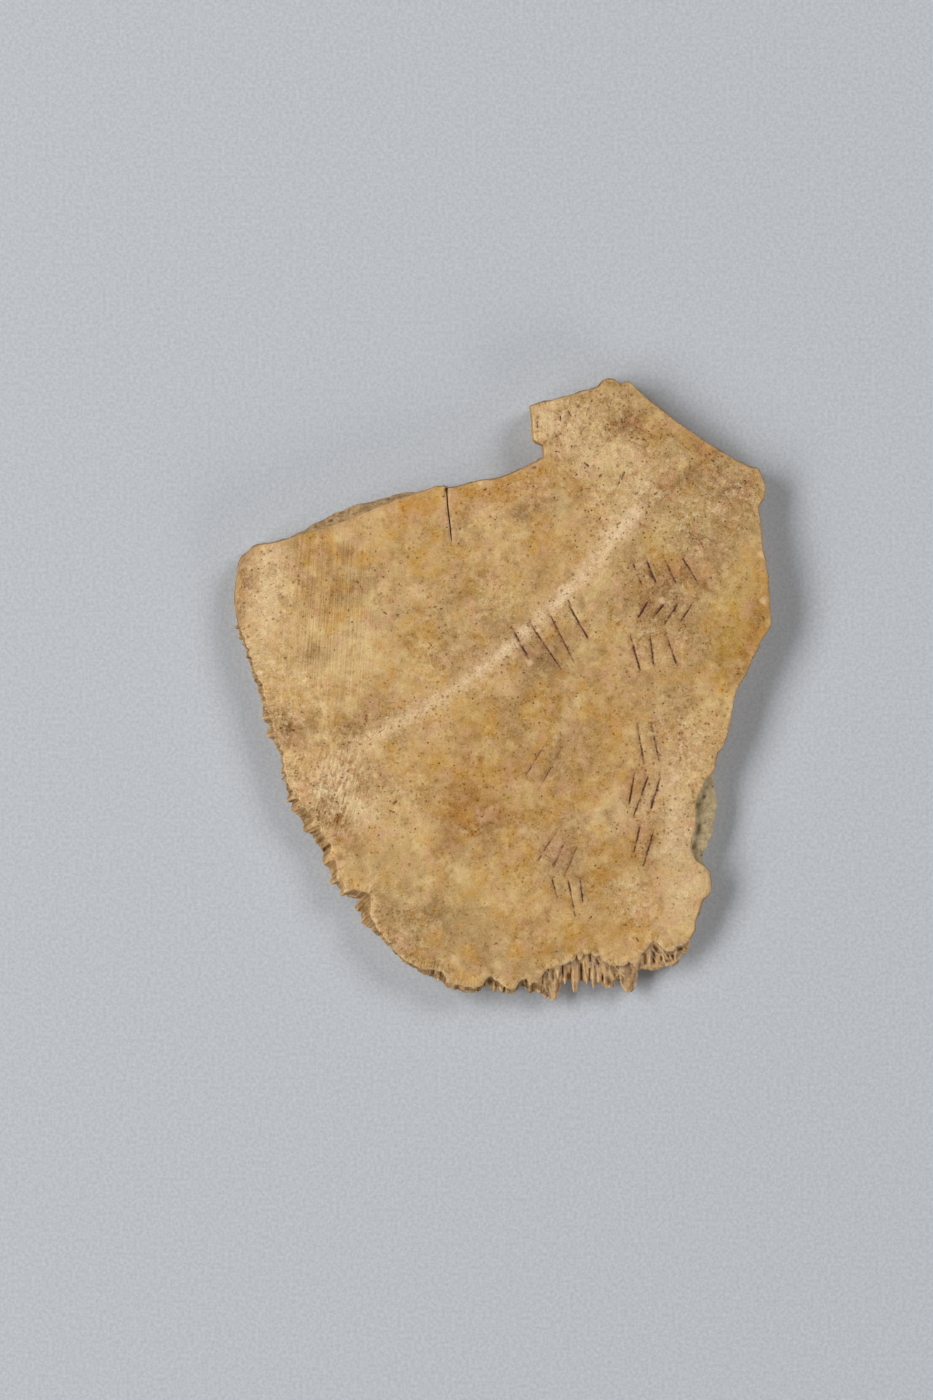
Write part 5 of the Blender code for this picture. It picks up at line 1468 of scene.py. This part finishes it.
def bone_material():
    material = bpy.data.materials.new("aged_bone_surface")
    n = Nodes(material)
    pores = n.math("MAXIMUM", pore_mask(n, 0.62, 0.19, 0.45, 17.0),
                   n.mul(pore_mask(n, 0.34, 0.24, 0.5, 51.0), 0.7))
    ink = n.mul(n["ink"], n.veil(0.24, 3, 18.0, 0.3, 0.62, 0.45, 1.4, 0.7))
    colour = n.over(face_colour(n), (140, 88, 50), pore_mask(n, 0.8, 0.26, 0.7, 83.0), 0.6)
    colour = n.over(colour, (86, 55, 33), pores, 0.8)
    # The cuts' ink, with the painted shade of the pits.
    colour = n.over(colour, (140, 94, 60), n.ramp(ink, 0.03, 0.3, 0, 0.6))
    colour = n.over(colour, (62, 38, 28), n.ramp(ink, 0.18, 0.62, 0, 0.92))
    on_wall = n.ramp(n["depth"], 0.0, 0.05)
    colour = n.over(colour, wall_colour(n), on_wall)
    colour = n.over(colour, underside_colour(n), n.ramp(n["depth"], 0.93, 1.0))
    # How sharply the surface bends: 0.5 where flat, more on crests, less in grooves. It gives the
    # crests a painted highlight and the grooves painted shade.
    bend = n.add("NewGeometry", {}, "Pointiness")
    colour = n.over(colour, (236, 204, 156), n.ramp(bend, 0.51, 0.62, 0, 0.6))
    colour = n.over(colour, (112, 80, 50), n.ramp(bend, 0.5, 0.38, 0, 0.35))

    rough = n.math("ADD", n.veil(1.2, 3, 40.0, 0.3, 0.7, 0.44, 0.62), n.mul(on_wall, 0.22))
    rough = n.math("ADD", rough, n.mul(pores, 0.2))

    height = n.mul(n.noise(0.35, 4, 41.0, 0.65), n.mad(n["worn"], 0.07, 0.03))
    streaks = n.noise(1.0, 2, 42.0, where=n.place((0.14, 4.0, 1.0), STREAK_TURN))
    scores = n.noise(1.0, 4, 43.0, where=n.place((0.3, 1.2, 1.0), SCORE_TURN))
    comb = n.noise(1.0, 2, 44.0, where=n.across_margin(0.2))
    combed = n.math("MAXIMUM", n.near_suture(), n.mul(on_wall, n["sutured"]))
    combed = n.mul(combed, n.mad(n["pegged"], -0.07, 0.1))
    for marks, depth in ((streaks, n.mul(n["striated"], 0.03)), (scores, n.mul(n["scraped"], 0.1)),
                         (comb, combed)):
        height = n.mad(marks, depth, height)
    height = n.math("SUBTRACT", height, n.mul(pores, 0.09))
    bump = n.add("Bump", {"Strength": BUMP_STRENGTH, "Distance": MM, "Height": height})

    n.give(n.shader.inputs, {
        "Base Color": colour, "Roughness": rough, "Specular IOR Level": 0.27, "Normal": bump,
        "Subsurface Weight": 0.1, "Subsurface Radius": (1.0, 0.55, 0.28),
        "Subsurface Scale": 0.8 * MM,
    })
    return material


# --- studio ---------------------------------------------------------------------------------


def add_object(name, data):
    made = bpy.data.objects.new(name, data)
    bpy.context.scene.collection.objects.link(made)
    return made


def floor_piece():
    half = FLOOR_SIDE / 2 * MM
    mesh = bpy.data.meshes.new("floor")
    corners = [(-half, -half, 0), (half, -half, 0), (half, half, 0), (-half, half, 0)]
    mesh.from_pydata(corners, [], [(0, 1, 2, 3)])
    material = bpy.data.materials.new("grey_board")
    n = Nodes(material)
    fibre = n.veil(0.34, 3, 50.0, 0.3, 0.7, 0.89, 1.11, 0.75)
    n.give(n.shader.inputs, {"Base Color": n.mix(1.0, FLOOR_COLOUR, fibre, "MULTIPLY"),
                             "Roughness": 0.9, "Specular IOR Level": 0.1})
    mesh.materials.append(material)
    add_object("floor", mesh)


def area_light(name, azimuth, elevation, width, height, weight):
    """A softbox a metre from the plate, turned to it, that gives the floor the weight in light."""
    light = bpy.data.lights.new(name, "AREA")
    light.shape = "RECTANGLE"
    light.size, light.size_y = width, height
    a, e = math.radians(azimuth), math.radians(elevation)
    light.energy = weight * math.pi**2 / math.sin(e)
    light.color = LIGHT_COLOUR
    lamp = add_object(name, light)
    lamp.location = (math.cos(e) * math.cos(a), math.cos(e) * math.sin(a), math.sin(e))
    lamp.rotation_euler = (-lamp.location).to_track_quat("-Z", "Y").to_euler()


def studio():
    for light in LIGHTS:
        area_light(*light)
    world = bpy.data.worlds.new("studio")
    world.use_nodes = True
    background = world.node_tree.nodes["Background"]
    background.inputs["Color"].default_value = AMBIENT_COLOUR
    background.inputs["Strength"].default_value = AMBIENT
    bpy.context.scene.world = world
    bpy.context.scene.view_settings.view_transform = "Standard"


def camera():
    lens = bpy.data.cameras.new("camera")
    lens.sensor_width = SENSOR
    lens.lens = SENSOR * CAMERA_DISTANCE / VIEW_HEIGHT
    eye = add_object("camera", lens)
    height = MIDDLE_THICKNESS + CAMERA_DISTANCE
    eye.location = (VIEW_CENTRE[0] * MM, VIEW_CENTRE[1] * MM, height * MM)
    bpy.context.scene.camera = eye


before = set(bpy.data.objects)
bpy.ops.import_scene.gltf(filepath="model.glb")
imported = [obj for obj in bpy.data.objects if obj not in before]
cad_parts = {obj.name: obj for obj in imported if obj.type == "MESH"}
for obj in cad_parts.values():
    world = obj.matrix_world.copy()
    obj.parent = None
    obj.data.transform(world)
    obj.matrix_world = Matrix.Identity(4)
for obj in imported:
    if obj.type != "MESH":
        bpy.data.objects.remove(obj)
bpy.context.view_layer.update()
skin = skin_piece()
skin.data.materials.append(bone_material())
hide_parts(NODE)
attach(skin, "root")
floor_piece()
studio()
camera()
